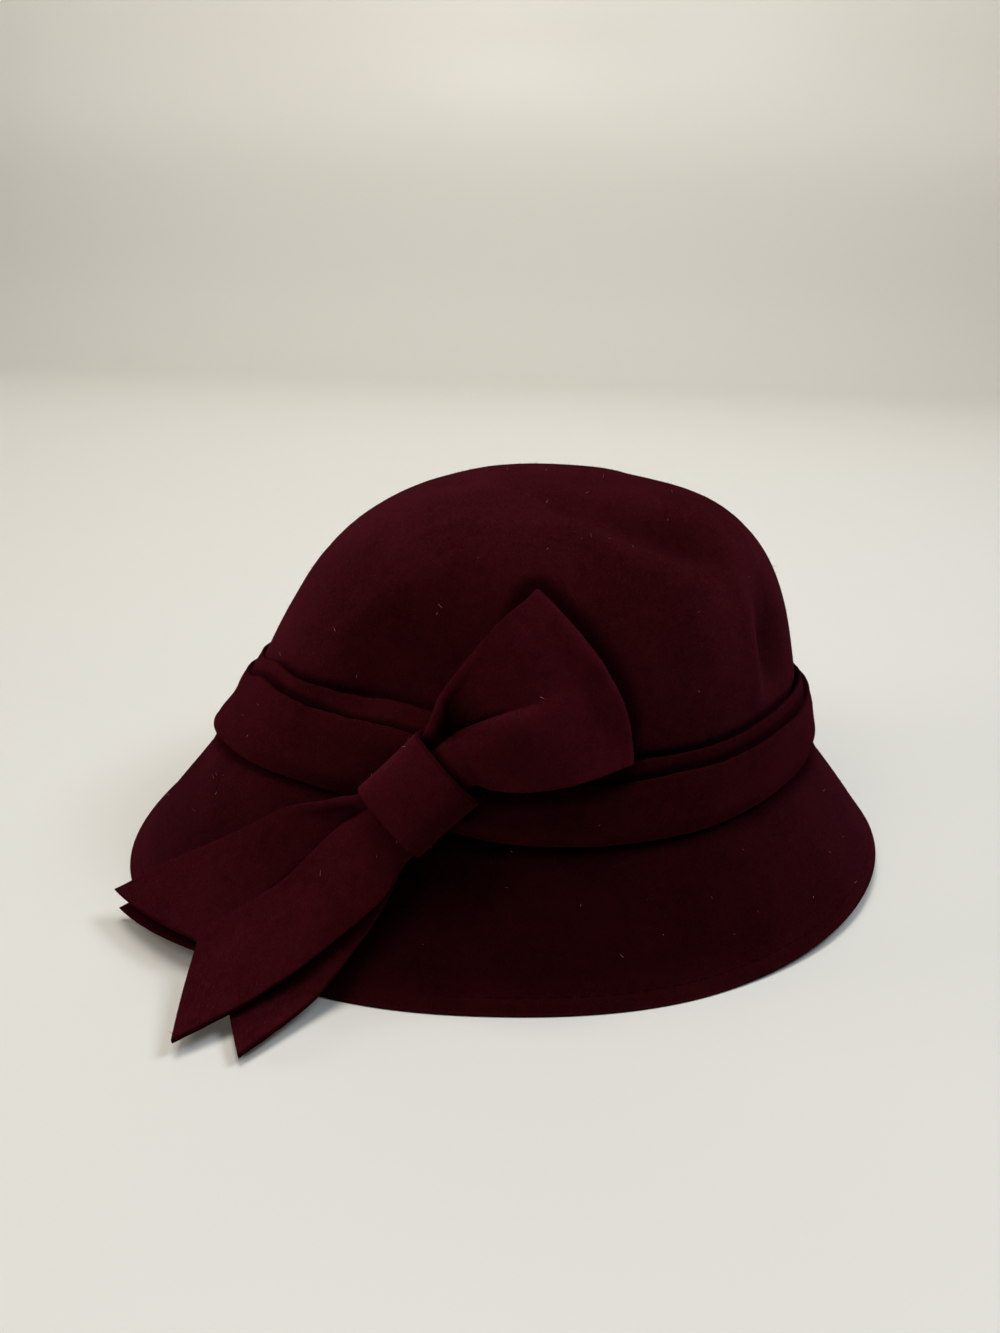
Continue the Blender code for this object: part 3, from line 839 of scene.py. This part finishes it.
def knotAxes():
    # middle of the sleeve's back, and the axes along, across and out of the bow
    angle, tilt, slant = radians(bow["knotTurn"]), radians(bow["knotTilt"]), radians(bow["angle"])
    away = np.array((sin(angle), -cos(angle), 0.0))
    level = np.array((cos(angle), sin(angle), 0.0))
    up = np.array((0.0, 0.0, 1.0))
    outwards = away * cos(tilt) + up * sin(tilt)
    upwards = up * cos(tilt) - away * sin(tilt)
    along = level * cos(slant) + upwards * sin(slant)
    across = upwards * cos(slant) - level * sin(slant)
    centre = np.array((*hat["axis"], bow["knotHeight"])) + away * bow["knotReach"]
    return centre, along, across, outwards


def heldRow(alongBow, upWide, lowWide, outBow, *more):
    # a strip's row inside the sleeve
    centre, along, across, outwards = knotAxes()
    row = []
    for offset in (upWide, -lowWide):
        spot = centre + along * alongBow + across * offset + outwards * outBow
        x, y = spot[0] - hat["axis"][0], spot[1] - hat["axis"][1]
        row += [degrees(atan2(x, -y)), hypot(x, y), spot[2]]
    return (*row, *more)


def radial(points):
    # away from the hat and a little upwards
    x = points[..., 0] - hat["axis"][0]
    y = points[..., 1] - hat["axis"][1]
    away = np.hypot(x, y)
    direction = np.stack([x / away, y / away, 0 * x + bow["rise"]], -1)
    return direction / hypot(1.0, bow["rise"])


def forwards(points):
    # towards a point in front of the bow
    away = frontPoint - points
    return away / np.linalg.norm(away, axis=-1, keepdims=True)


def foldHeight(row, across):
    # the roll along the lower half, the hollow beside it and the curled upper rim
    half = (row["ridge"] + 1.16) / 2
    middle = (row["ridge"] - 1.08) / 2
    roll = np.maximum(0.0, 1.0 - ((across - middle) / half) ** 2) ** 0.6
    past = across - row["ridge"]
    hollow = smooth(past / 0.16 + 0.5) * np.maximum(0.0, (1.0 - across) / (1.0 - row["ridge"])) ** 0.85
    rim = hill(across - 0.90, 0.09)
    return row["roll"] * roll - row["hollow"] * hollow + row["rim"] * rim


def foldTuck(row, across):
    # how far a place across the strip is drawn in under the roll
    return row["tuck"] * hill(across - row["ridge"] - 0.10, 0.10)


def pocketShade(rows, places, across, fade, least=0.0):
    # painted shade from 0 to 1: deep in the pocket beside the sleeve, in a line along the sleeve's rim, and the
    # least over the part beyond the roll
    row = named(openCurve(rows, places), stripNames)
    past = across - row["ridge"]
    behind = smooth(past / (0.10 + 0.05 * (places - 2.0).clip(0.0)) + 1.0)
    share = ((1.0 - across) / (1.0 - row["ridge"])).clip(0.0, 1.0)
    deep = behind * share ** 1.2 * row["hollow"] / 2.4
    deep = deep * (1.0 - smooth((places - fade[0]) / (fade[1] - fade[0])))
    held = 0.8 * (1.0 - smooth((places - 1.72) / 0.4))
    return np.maximum(np.maximum(deep, held), behind * least * (0.6 + 0.4 * share)).clip(0.0, 1.0)


def stripPoints(rows, places, across, stand, folded=1.0, ahead=False):
    # points of a strip's middle surface, kept off the hat beyond the sleeve
    row = named(openCurve(rows, places), stripNames)
    share = (across - foldTuck(row, across) * folded + 1.0) / 2.0
    turn, reach, height = (row[name + "Low"] + (row[name + "Up"] - row[name + "Low"]) * share
                           for name in ("turn", "reach", "height"))
    angle = np.radians(turn)
    x = hat["axis"][0] + reach * np.sin(angle)
    y = hat["axis"][1] - reach * np.cos(angle)
    points = np.stack([x, y, height], -1)
    free = np.clip(places / 2.0 - 1.0, 0.0, 1.0)[..., None]
    points = points + (settle(points, stand) - points) * free
    out = forwards(points) if ahead else radial(points)
    return points + out * (foldHeight(row, across) * folded)[..., None]


def edgeSteps(count, wide):
    # even steps from -1 to 1 with closer ones at both ends, where the cut edges are rounded
    near = [2 * distance / wide for distance in (0.0, 0.12, 0.4, 0.9)]
    inside = np.linspace(-1.0 + near[-1], 1.0 - near[-1], count - 2 * len(near) + 2)
    return np.concatenate([[-1 + step for step in near[:-1]], inside,
                           [1 - step for step in reversed(near[:-1])]])


def feltSheet(name, grid, pocket, seed):
    # a closed sheet of felt from a grid on its middle surface, with rounded cut edges
    rows, wide = grid.shape[:2]
    along = np.gradient(grid, axis=0)
    across = np.gradient(grid, axis=1)
    normal = np.cross(along, across)
    normal /= np.linalg.norm(normal, axis=2, keepdims=True)
    wave = bow["faceWave"] * ripples(grid, (11.0, 1.0, seed), (4.0, 0.4, seed + 1))
    grid = grid + normal * wave[..., None]
    # the felt thins towards its cut edges
    half = np.full((rows, wide), bow["felt"] / 2)
    for depth, share in enumerate(bow["edgeThins"]):
        ends = [depth, -1 - depth]
        half[:, ends] = np.minimum(half[:, ends], share * bow["felt"] / 2)
        half[ends] = np.minimum(half[ends], share * bow["felt"] / 2)
    front = grid + normal * half[..., None]
    back = grid - normal * half[..., None]
    points = np.concatenate([front.reshape(-1, 3), back.reshape(-1, 3)])
    behind = rows * wide
    faces, kinds = [], []
    for i in range(rows - 1):
        for j in range(wide - 1):
            corner = i * wide + j
            quad = (corner, corner + 1, corner + wide + 1, corner + wide)
            edge = int(i < 1 or j < 1 or i > rows - 3 or j > wide - 3)
            faces += [quad, tuple(behind + index for index in reversed(quad))]
            kinds += [edge, edge]
    border = list(range(wide)) + [i * wide + wide - 1 for i in range(1, rows)]
    border += [(rows - 1) * wide + j for j in range(wide - 2, -1, -1)]
    border += [i * wide for i in range(rows - 2, 0, -1)]
    for first, second in zip(border, border[1:] + border[:1]):
        faces.append((first, second, behind + second, behind + first))
        kinds.append(1)
    piece = addPiece(name, points, faces, [bowMaterial, bowEdge], kinds)
    shades = np.zeros(len(points))
    shades[:pocket.size] = shades[behind:behind + pocket.size] = pocket.ravel()
    writeShade(piece, shades)
    return piece


def wavyEdges(grid, seed):
    # the cut edges wander a little from the straight
    rows, wide = grid.shape[:2]
    across = np.gradient(grid, axis=1)
    across /= np.linalg.norm(across, axis=2, keepdims=True)
    share = np.linspace(-1.0, 1.0, wide)
    wave = bow["edgeWave"] * ripples(grid, (7.0, 1.0, seed), (2.6, 0.5, seed + 1))
    return grid + across * (wave * np.abs(share)[None, :] ** 6)[..., None]


def notchDepth(across):
    # from 0 at the two points of a tail to 1 at the bottom of its notch
    side = np.where(across > bow["notchAcross"], 1.0, -1.0)
    return 1.0 - (across - bow["notchAcross"]) / (side - bow["notchAcross"])


def heldRows(side, layer, folds):
    # the rows inside the sleeve, on the loop's side 1 or the tails' side -1
    lowWides = loop["heldLows"] if side > 0 else bow["heldWides"]
    return tuple(heldRow(side * place, upWide, lowWide, layer, *fold)
                 for place, upWide, lowWide, fold in zip(heldPlaces, bow["heldWides"], lowWides, folds))


def makeTail(name, rows, layer, folds, notch, stand, seed):
    rows = heldRows(-1, layer, folds) + rows
    across = edgeSteps(bow["acrossSteps"], 46.0)
    along = (edgeSteps(bow["alongSteps"], 90.0) + 1.0) / 2.0
    shares, spread = np.meshgrid(along, across, indexing="ij")
    places = (len(rows) - 1) * (1.0 - notch * notchDepth(spread)) * shares
    grid = stripPoints(rows, places, spread, stand)
    shade = pocketShade(rows, places, spread, tails["pocket"], tails["dim"])
    return feltSheet(name, wavyEdges(grid, seed), shade, seed + 3)


def makeLoop():
    # one strip: front layer, rounded fold, back layer
    front = heldRows(1, loop["frontLayer"], loop["heldFolds"]) + loopRows
    back = list(heldRows(1, bow["backLayer"], ((0.2, 0.0, 0.0, 0.0, 0.0),) * len(heldPlaces)))
    for row, layers in zip(loopRows, loop["layers"]):
        values = dict(zip(stripNames, row))
        inwards = layers / hypot(1.0, bow["rise"])
        for name in ("reachUp", "reachLow"):
            values[name] -= inwards
        for name in ("heightUp", "heightLow"):
            values[name] -= inwards * bow["rise"]
        back.append(tuple(values[name] for name in stripNames))
    across = edgeSteps(bow["acrossSteps"], 46.0)
    steps = bow["alongSteps"] // 2
    shares, spread = np.meshgrid(np.linspace(0.0, 1.0, steps), across, indexing="ij")
    places = (len(front) - 1) * shares * (1.0 + loop["round"] * (1.0 - spread ** 2))
    lift = np.interp(places, range(8), loop["lifts"])
    lift = lift * (1.0 - loop["lowerDrop"] * smooth((-spread - 0.2) / 0.8))
    lift = lift + smooth((places - 2.0) / 3.0) * loop["belly"] * np.sin(pi * shares) * (1.0 - spread ** 2)
    outer = stripPoints(front, places, spread, loop["frontStand"], 1.0, True)
    outer = outer + forwards(outer) * lift[..., None]
    inner = stripPoints(back, places, spread, loop["backStand"], 0.0)
    inner = inner + forwards(inner) * np.interp(places, range(8), loop["backLifts"])[..., None]
    middle = (outer[-1] + inner[-1]) / 2
    ahead = outer[-1] - outer[-2] + inner[-1] - inner[-2]
    ahead /= np.linalg.norm(ahead, axis=1, keepdims=True)
    reachOut = ahead * np.linalg.norm(outer[-1] - inner[-1], axis=1, keepdims=True) * loop["turnOver"]
    fold = []
    for step in range(1, loop["foldSteps"]):
        angle = pi * step / loop["foldSteps"]
        fold.append(middle + (outer[-1] - middle) * cos(angle) + reachOut * sin(angle))
    grid = np.concatenate([outer, np.array(fold), inner[::-1]])
    # painted shade on the strip as it turns over
    turned = [np.full(len(across), loop["foldShade"] * step / len(fold)) for step in range(len(fold))]
    shade = np.concatenate([pocketShade(front, places, spread, loop["pocket"]), turned])
    return feltSheet("bowLoop", wavyEdges(grid, 51), shade, 54)


def makeKnot():
    # the sleeve: a crowned front, soft corners and rounded rims
    centre, along, across, outwards = knotAxes()
    half = bow["knotLong"] / 2
    lengths = np.linspace(-half + bow["rimWide"], half - bow["rimWide"], bow["knotRows"])
    outer = [(back, down) for back, down, _ in bow["rimSteps"]]
    inner = [(back, bow["rimThin"] * bow["felt"] - up) for back, _, up in bow["rimSteps"]]
    # rows of length along the sleeve and inset from its outer face, out and back inside
    section = [(-half + back, inset) for back, inset in outer] + [(length, 0.0) for length in lengths]
    section += [(half - back, inset) for back, inset in reversed(outer)] + [(half, bow["felt"] / 2)]
    section += [(half - back, inset) for back, inset in inner]
    section += [(length, bow["felt"] * (1.0 - 0.3 * smooth((abs(length) / half - 0.7) / 0.25)))
                for length in reversed(lengths)]
    section += [(-half + back, inset) for back, inset in reversed(inner)] + [(-half, bow["felt"] / 2)]
    sides = bow["knotSides"]
    angles = 2 * pi * (np.arange(sides) + 0.5) / sides
    wide, deep = (np.abs(part) ** bow["knotCorner"] * np.sign(part)
                  for part in (np.cos(angles), np.sin(angles)))
    rings = []
    for length, inset in section:
        share = length / half
        crown = bow["knotCrown"] * (1.0 - share ** 2)
        waist = bow["knotWaist"] * (1.0 - share ** 2)
        narrow = bow["knotBack"] * (1.0 - deep) / 2
        halfWide = bow["knotWide"] / 2 - inset - waist - narrow
        halfDeep = bow["knotDeep"] / 2 - inset + np.where(deep > 0, crown, 0.0)
        out = bow["knotDeep"] / 2 + deep * halfDeep
        ring = centre + along * length + np.outer(wide * halfWide, across) + np.outer(out, outwards)
        front = smooth(out / bow["knotDeep"])
        lift = bow["knotWave"] * ripples(ring, (8.0, 1.0, 61), (3.0, 0.4, 62)) * front
        rings.append(ring + np.outer(lift, outwards))
    lastOuter = bow["knotRows"] + 1
    rimRows = {0, 1, *range(lastOuter, lastOuter + 7), *range(len(rings) - 3, len(rings))}
    kinds = [int(row in rimRows) for row in range(len(rings)) for _ in range(sides)]
    points = np.concatenate(rings)
    faces = ringFaces(len(rings), sides, True)
    piece = addPiece("bowKnot", points, faces, [sleeveMaterial, bowEdge], kinds)
    # its lower half turns away from the light
    sideways = (points - centre) @ across / (bow["knotWide"] / 2)
    writeShade(piece, bow["knotDim"] * smooth((0.15 - sideways) / 1.15))
    return piece


print("bow")
bowKnot = makeKnot()
bowLoop = makeLoop()
upperTail = makeTail("topTail", upperTailRows, bow["frontLayer"], tails["upperHeld"],
                     tails["upperNotch"], tails["upperStand"], 71)
lowerTail = makeTail("underTail", lowerTailRows, bow["backLayer"], tails["lowerHeld"],
                     tails["lowerNotch"], tails["lowerStand"], 81)

# Loose fibres and lint: how many of them, their length, radius and lean, their sizes' spread
# and turn, and how far above the floor they begin
fuzz = {
    "hatFibres": 15000,
    "bandFibres": 5200,
    "bowFibres": 7500,
    "long": 1.2,
    "thick": 0.032,
    "tilt": 68.0,
    "specks": 350,
    "speckLong": 1.6,
    "speckThick": 0.11,
    "shortest": 0.35,
    "longest": 1.15,
    "spin": 6.28,
    "offFloor": 2.2,
}


def treeInput(tree, name, kind, value):
    # a named input of the tree, known to a modifier by its identifier
    socket = tree.interface.new_socket(name, in_out="INPUT", socket_type=kind)
    socket.default_value = value
    return socket.identifier


def addNode(tree, kind, **values):
    node = tree.nodes.new(kind)
    for name, value in values.items():
        setattr(node, name, value)
    return node


def join(tree, *pairs):
    for output, socket in pairs:
        tree.links.new(output, socket)


def startTree(name):
    tree = bpy.data.node_groups.new(name, "GeometryNodeTree")
    tree.interface.new_socket("Geometry", in_out="INPUT", socket_type="NodeSocketGeometry")
    tree.interface.new_socket("Geometry", in_out="OUTPUT", socket_type="NodeSocketGeometry")
    return tree


def finishTree(tree, geometry, output, material):
    # every tree ends in Realize Instances and Set Material
    real = addNode(tree, "GeometryNodeRealizeInstances")
    finish = addNode(tree, "GeometryNodeSetMaterial")
    finish.inputs["Material"].default_value = material
    join(tree, (geometry, real.inputs["Geometry"]), (real.outputs["Geometry"], finish.inputs["Geometry"]),
         (finish.outputs["Geometry"], output.inputs[0]))


def evaluated(name, holder, tree, values):
    # the tree's result as a plain mesh piece, after which its holder isn't needed
    modifier = holder.modifiers.new("tree", "NODES")
    modifier.node_group = tree
    for identifier, value in values.items():
        modifier[identifier] = value
    bpy.context.view_layer.update()
    graph = bpy.context.evaluated_depsgraph_get()
    mesh = bpy.data.meshes.new_from_object(holder.evaluated_get(graph), depsgraph=graph)
    bpy.data.objects.remove(holder)
    mesh.name = name
    mesh.shade_smooth()
    return newObject(name, mesh)


def fuzzTree():
    # short bent fibres scattered over a surface, leaning every way from its normals
    tree = startTree("fuzz")
    names = {
        "count": treeInput(tree, "Density", "NodeSocketFloat", 10000.0),
        "long": treeInput(tree, "Fibre length", "NodeSocketFloat", fuzz["long"] * mm),
        "thick": treeInput(tree, "Fibre radius", "NodeSocketFloat", fuzz["thick"] * mm),
        "tilt": treeInput(tree, "Tilt", "NodeSocketFloat", radians(fuzz["tilt"])),
        "seed": treeInput(tree, "Seed", "NodeSocketInt", 3),
    }
    given = addNode(tree, "NodeGroupInput")
    output = addNode(tree, "NodeGroupOutput")
    scatter = addNode(tree, "GeometryNodeDistributePointsOnFaces")
    join(tree, (given.outputs["Geometry"], scatter.inputs["Mesh"]),
         (given.outputs["Density"], scatter.inputs["Density"]), (given.outputs["Seed"], scatter.inputs["Seed"]))
    fibre = addNode(tree, "GeometryNodeMeshCone", fill_type="NGON")
    fibre.inputs["Vertices"].default_value = 3
    fibre.inputs["Side Segments"].default_value = 2
    fibre.inputs["Radius Top"].default_value = 0.0
    join(tree, (given.outputs["Fibre radius"], fibre.inputs["Radius Bottom"]),
         (given.outputs["Fibre length"], fibre.inputs["Depth"]))
    lean = addNode(tree, "FunctionNodeRandomValue", data_type="FLOAT_VECTOR")
    minus = addNode(tree, "ShaderNodeMath", operation="MULTIPLY")
    minus.inputs[1].default_value = -1.0
    low = addNode(tree, "ShaderNodeCombineXYZ")
    high = addNode(tree, "ShaderNodeCombineXYZ")
    high.inputs["Z"].default_value = fuzz["spin"]
    join(tree, (given.outputs["Tilt"], minus.inputs[0]),
         *((minus.outputs[0], low.inputs[axis]) for axis in ("X", "Y")),
         *((given.outputs["Tilt"], high.inputs[axis]) for axis in ("X", "Y")),
         (low.outputs[0], lean.inputs[0]), (high.outputs[0], lean.inputs[1]))
    turn = addNode(tree, "FunctionNodeRotateRotation", rotation_space="LOCAL")
    size = addNode(tree, "FunctionNodeRandomValue", data_type="FLOAT")
    size.inputs[2].default_value = fuzz["shortest"]
    size.inputs[3].default_value = fuzz["longest"]
    instances = addNode(tree, "GeometryNodeInstanceOnPoints")
    join(tree, (scatter.outputs["Rotation"], turn.inputs[0]), (lean.outputs[0], turn.inputs[1]),
         (scatter.outputs["Points"], instances.inputs["Points"]),
         (fibre.outputs["Mesh"], instances.inputs["Instance"]),
         (turn.outputs[0], instances.inputs["Rotation"]), (size.outputs[1], instances.inputs["Scale"]))
    return tree, names, output, instances.outputs["Instances"]


def addFuzz(name, sources, count, material, seed, long=fuzz["long"], thick=fuzz["thick"]):
    # the holder is a copy of the surfaces that the fibres grow on
    edit = bmesh.new()
    for source in sources:
        edit.from_mesh(source.data)
    # none under the brim edge, where the hat stands on the floor
    low = [face for face in edit.faces if face.calc_center_median().z < fuzz["offFloor"] * mm]
    bmesh.ops.delete(edit, geom=low, context="FACES")
    area = sum(face.calc_area() for face in edit.faces)
    mesh = bpy.data.meshes.new("holder")
    edit.to_mesh(mesh)
    edit.free()
    tree, names, output, instances = fuzzTree()
    finishTree(tree, instances, output, material)
    return evaluated(name, newObject("holder", mesh), tree,
                     {names["count"]: count / area, names["seed"]: seed,
                      names["long"]: long * mm, names["thick"]: thick * mm})


def shadeNear(piece, over, shadow):
    # felt lies in soft shadow close to a piece that stands over it
    tree = KDTree(len(over.data.vertices))
    for vertex in over.data.vertices:
        tree.insert(vertex.co, vertex.index)
    tree.balance()
    distances = np.array([tree.find(vertex.co)[2] for vertex in piece.data.vertices]) / mm
    start, fade, much = shadow
    writeShade(piece, much * (1.0 - smooth((distances - start) / fade)))


# painted shadow on the crown and bands round the loop, and on the narrow band above the wide one
for shaded in (hatShell, innerBand, outerBand):
    shadeNear(shaded, bowLoop, loop["shadow"])
shadeNear(innerBand, outerBand, bands["shadow"])

print("fuzz")
fuzzMaterial = plainMaterial("looseFibre", (0.058, 0.0072, 0.0115), 0.9, 0.08)
hatFuzz = addFuzz("hatFuzz", [hatShell], fuzz["hatFibres"], fuzzMaterial, 3)
bandFuzz = addFuzz("bandFuzz", [innerBand, outerBand], fuzz["bandFibres"], fuzzMaterial, 4)
bowFuzz = addFuzz("bowFuzz", [bowKnot, bowLoop, upperTail, lowerTail], fuzz["bowFibres"], fuzzMaterial, 5)

lintMaterial = plainMaterial("paleLint", (0.34, 0.145, 0.145), 0.9, 0.1)
lint = addFuzz("lint", [hatShell, innerBand, outerBand, bowKnot, bowLoop, upperTail, lowerTail],
               fuzz["specks"], lintMaterial, 23, fuzz["speckLong"], fuzz["speckThick"])

threadMaterial = plainMaterial("sewingThread", (0.0085, 0.0006, 0.0010), 0.9, 0.0)


def stitchLine():
    # a line of stitches along the hem's groove
    tree = startTree("hemStitches")
    given = addNode(tree, "NodeGroupInput")
    names = {
        "count": treeInput(tree, "Stitches", "NodeSocketInt", hem["stitches"]),
        "long": treeInput(tree, "Stitch length", "NodeSocketFloat", hem["stitchLong"] * mm),
        "thick": treeInput(tree, "Thread radius", "NodeSocketFloat", hem["thread"] * mm),
    }
    output = addNode(tree, "NodeGroupOutput")
    path = addNode(tree, "GeometryNodeMeshToCurve")
    resample = addNode(tree, "GeometryNodeResampleCurve")
    join(tree, (given.outputs["Geometry"], path.inputs["Mesh"]),
         (path.outputs["Curve"], resample.inputs["Curve"]),
         (given.outputs["Stitches"], resample.inputs["Count"]))
    stitch = addNode(tree, "GeometryNodeMeshCylinder", fill_type="NGON")
    stitch.inputs["Vertices"].default_value = 7
    stitch.inputs["Side Segments"].default_value = 4
    tangent = addNode(tree, "GeometryNodeInputTangent")
    align = addNode(tree, "FunctionNodeAlignEulerToVector", axis="Z")
    instances = addNode(tree, "GeometryNodeInstanceOnPoints")
    join(tree, (given.outputs["Thread radius"], stitch.inputs["Radius"]),
         (given.outputs["Stitch length"], stitch.inputs["Depth"]),
         (tangent.outputs["Tangent"], align.inputs["Vector"]),
         (resample.outputs["Curve"], instances.inputs["Points"]),
         (stitch.outputs["Mesh"], instances.inputs["Instance"]),
         (align.outputs["Rotation"], instances.inputs["Rotation"]))
    finishTree(tree, instances.outputs["Instances"], output, threadMaterial)
    turns = evenTurns(hem["pathSteps"])
    here = planAt(turns)
    levels = hem["up"] / np.hypot(here["foot"], here["spread"]) - 1.0
    ring = np.array([hatRow(np.array([turn]), float(level), 0.0)[0] for turn, level in zip(turns, levels)])
    mesh = bpy.data.meshes.new("hemPath")
    edges = [(step, (step + 1) % len(turns)) for step in range(len(turns))]
    mesh.from_pydata((ring * mm).tolist(), edges, [])
    return evaluated("hemStitches", newObject("hemPath", mesh), tree, {names["count"]: hem["stitches"]})


print("stitches")
hemStitches = stitchLine()

print("ride")
for piece, slotName, nodes in (
    (hatShell, "body_felt", ("hat_body",)),
    (innerBand, "band_felt", ("inner_band",)),
    (outerBand, "band_felt", ("outer_band",)),
    (bowKnot, "bow_felt", ("bow_knot",)),
    (bowLoop, "bow_felt", ("bow_loop",)),
    (upperTail, "bow_felt", ("upper_tail",)),
    (lowerTail, "bow_felt", ("lower_tail",)),
    (hatFuzz, "body_felt", ()),
    (bandFuzz, "band_felt", ()),
    (bowFuzz, "bow_felt", ()),
    (lint, "body_felt", ()),
    (hemStitches, "body_felt", ()),
):
    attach(piece, "root")
    if nodes:
        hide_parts(*nodes)

# The floor curves up at its back into a wall, all in metres
table = {
    "colour": (0.765, 0.74, 0.68),
    "roughness": 0.32,
    "size": 6.0,
    "backAt": 1.6,
    "backRise": 3.0,
    "backRound": 0.7,
    "steps": 12,
}


def makeTable():
    path = [(table["size"] / 2, 0.0)]
    for step in range(table["steps"] + 1):
        angle = pi / 2 * step / table["steps"]
        path.append((-table["backAt"] - table["backRound"] * sin(angle),
                     table["backRound"] * (1 - cos(angle))))
    path.append((path[-1][0], table["backRise"]))
    half = table["size"] / 2
    points = [(x, side * half, z) for x, z in path for side in (-1, 1)]
    faces = [(2 * i, 2 * i + 1, 2 * i + 3, 2 * i + 2) for i in range(len(path) - 1)]
    mesh = bpy.data.meshes.new("table")
    mesh.from_pydata(points, [], faces)
    mesh.shade_smooth()
    mesh.materials.append(plainMaterial("tablePaint", table["colour"], table["roughness"]))
    newObject("table", mesh)


view = {
    "lens": 27.034,
    "place": (325.86, 1.2, 187.83),
    "elevation": 20.865,
    "yaw": 1.073,
    "pitch": 0.406,
    "roll": 2.274,
}


def makeCamera():
    data = bpy.data.cameras.new("camera")
    data.lens = view["lens"]
    data.clip_start = 0.01
    data.clip_end = 50.0
    matrix = Matrix.Translation(Vector(view["place"]) * mm)
    for angle, axis in ((90.0, "Z"), (90.0 - view["elevation"], "X"), (view["yaw"], "Y"),
                        (-view["pitch"], "X"), (view["roll"], "Z")):
        matrix = matrix @ Matrix.Rotation(radians(angle), 4, axis)
    camera = newObject("camera", data)
    camera.matrix_world = matrix
    bpy.context.scene.camera = camera


# Each lamp's name, place, aim, size in metres, watts and colour
lamps = (
    ("lowPanel", (0.10, -1.48, 0.26), (0.0, 0.0, 0.05), (0.6, 0.6), 9.3, (1.0, 0.95, 0.87)),
    ("leftPanel", (0.55, -0.70, 1.25), (0.0, 0.0, 0.05), (0.6, 0.6), 4.0, (1.0, 0.96, 0.90)),
    ("topPanel", (0.0, -0.13, 1.55), (0.0, 0.0, 0.05), (0.6, 0.6), 12.3, (1.0, 0.97, 0.94)),
    ("rightPanel", (0.0, 0.86, 1.28), (0.0, 0.0, 0.05), (0.6, 0.6), 11.0, (0.80, 0.90, 1.0)),
    ("wallPanel", (-0.9, 0.0, 1.3), (-2.09, 0.0, 0.57), (4.2, 0.8), 24.0, (1.0, 0.97, 0.92)),
)


room = {
    "colour": (0.90, 0.88, 0.84),
    "light": 0.01,
    "seen": 0.55,
}


def makeLamps():
    for name, spot, aim, size, power, colour in lamps:
        data = bpy.data.lights.new(name, "AREA")
        data.shape = "RECTANGLE"
        data.size, data.size_y = size
        data.energy = power
        data.color = colour
        lamp = newObject(name, data)
        lamp.location = spot
        lamp.rotation_euler = (Vector(aim) - Vector(spot)).to_track_quat("-Z", "Y").to_euler()
        lamp.visible_camera = False


def makeRoom():
    # the room gives next to no light, and shows pale past the floor's edges
    world = bpy.data.worlds.new("room")
    world.use_nodes = True
    nodes, links = world.node_tree.nodes, world.node_tree.links
    nodes["Background"].inputs["Color"].default_value = (*room["colour"], 1.0)
    seen = nodes.new("ShaderNodeLightPath").outputs["Is Camera Ray"]
    strength = nodes.new("ShaderNodeMapRange")
    strength.inputs["To Min"].default_value = room["light"]
    strength.inputs["To Max"].default_value = room["seen"]
    links.new(seen, strength.inputs["Value"])
    links.new(strength.outputs["Result"], nodes["Background"].inputs["Strength"])
    bpy.context.scene.world = world
    bpy.context.scene.view_settings.view_transform = "Standard"


print("floor, camera and lamps")
makeTable()
makeCamera()
makeLamps()
makeRoom()
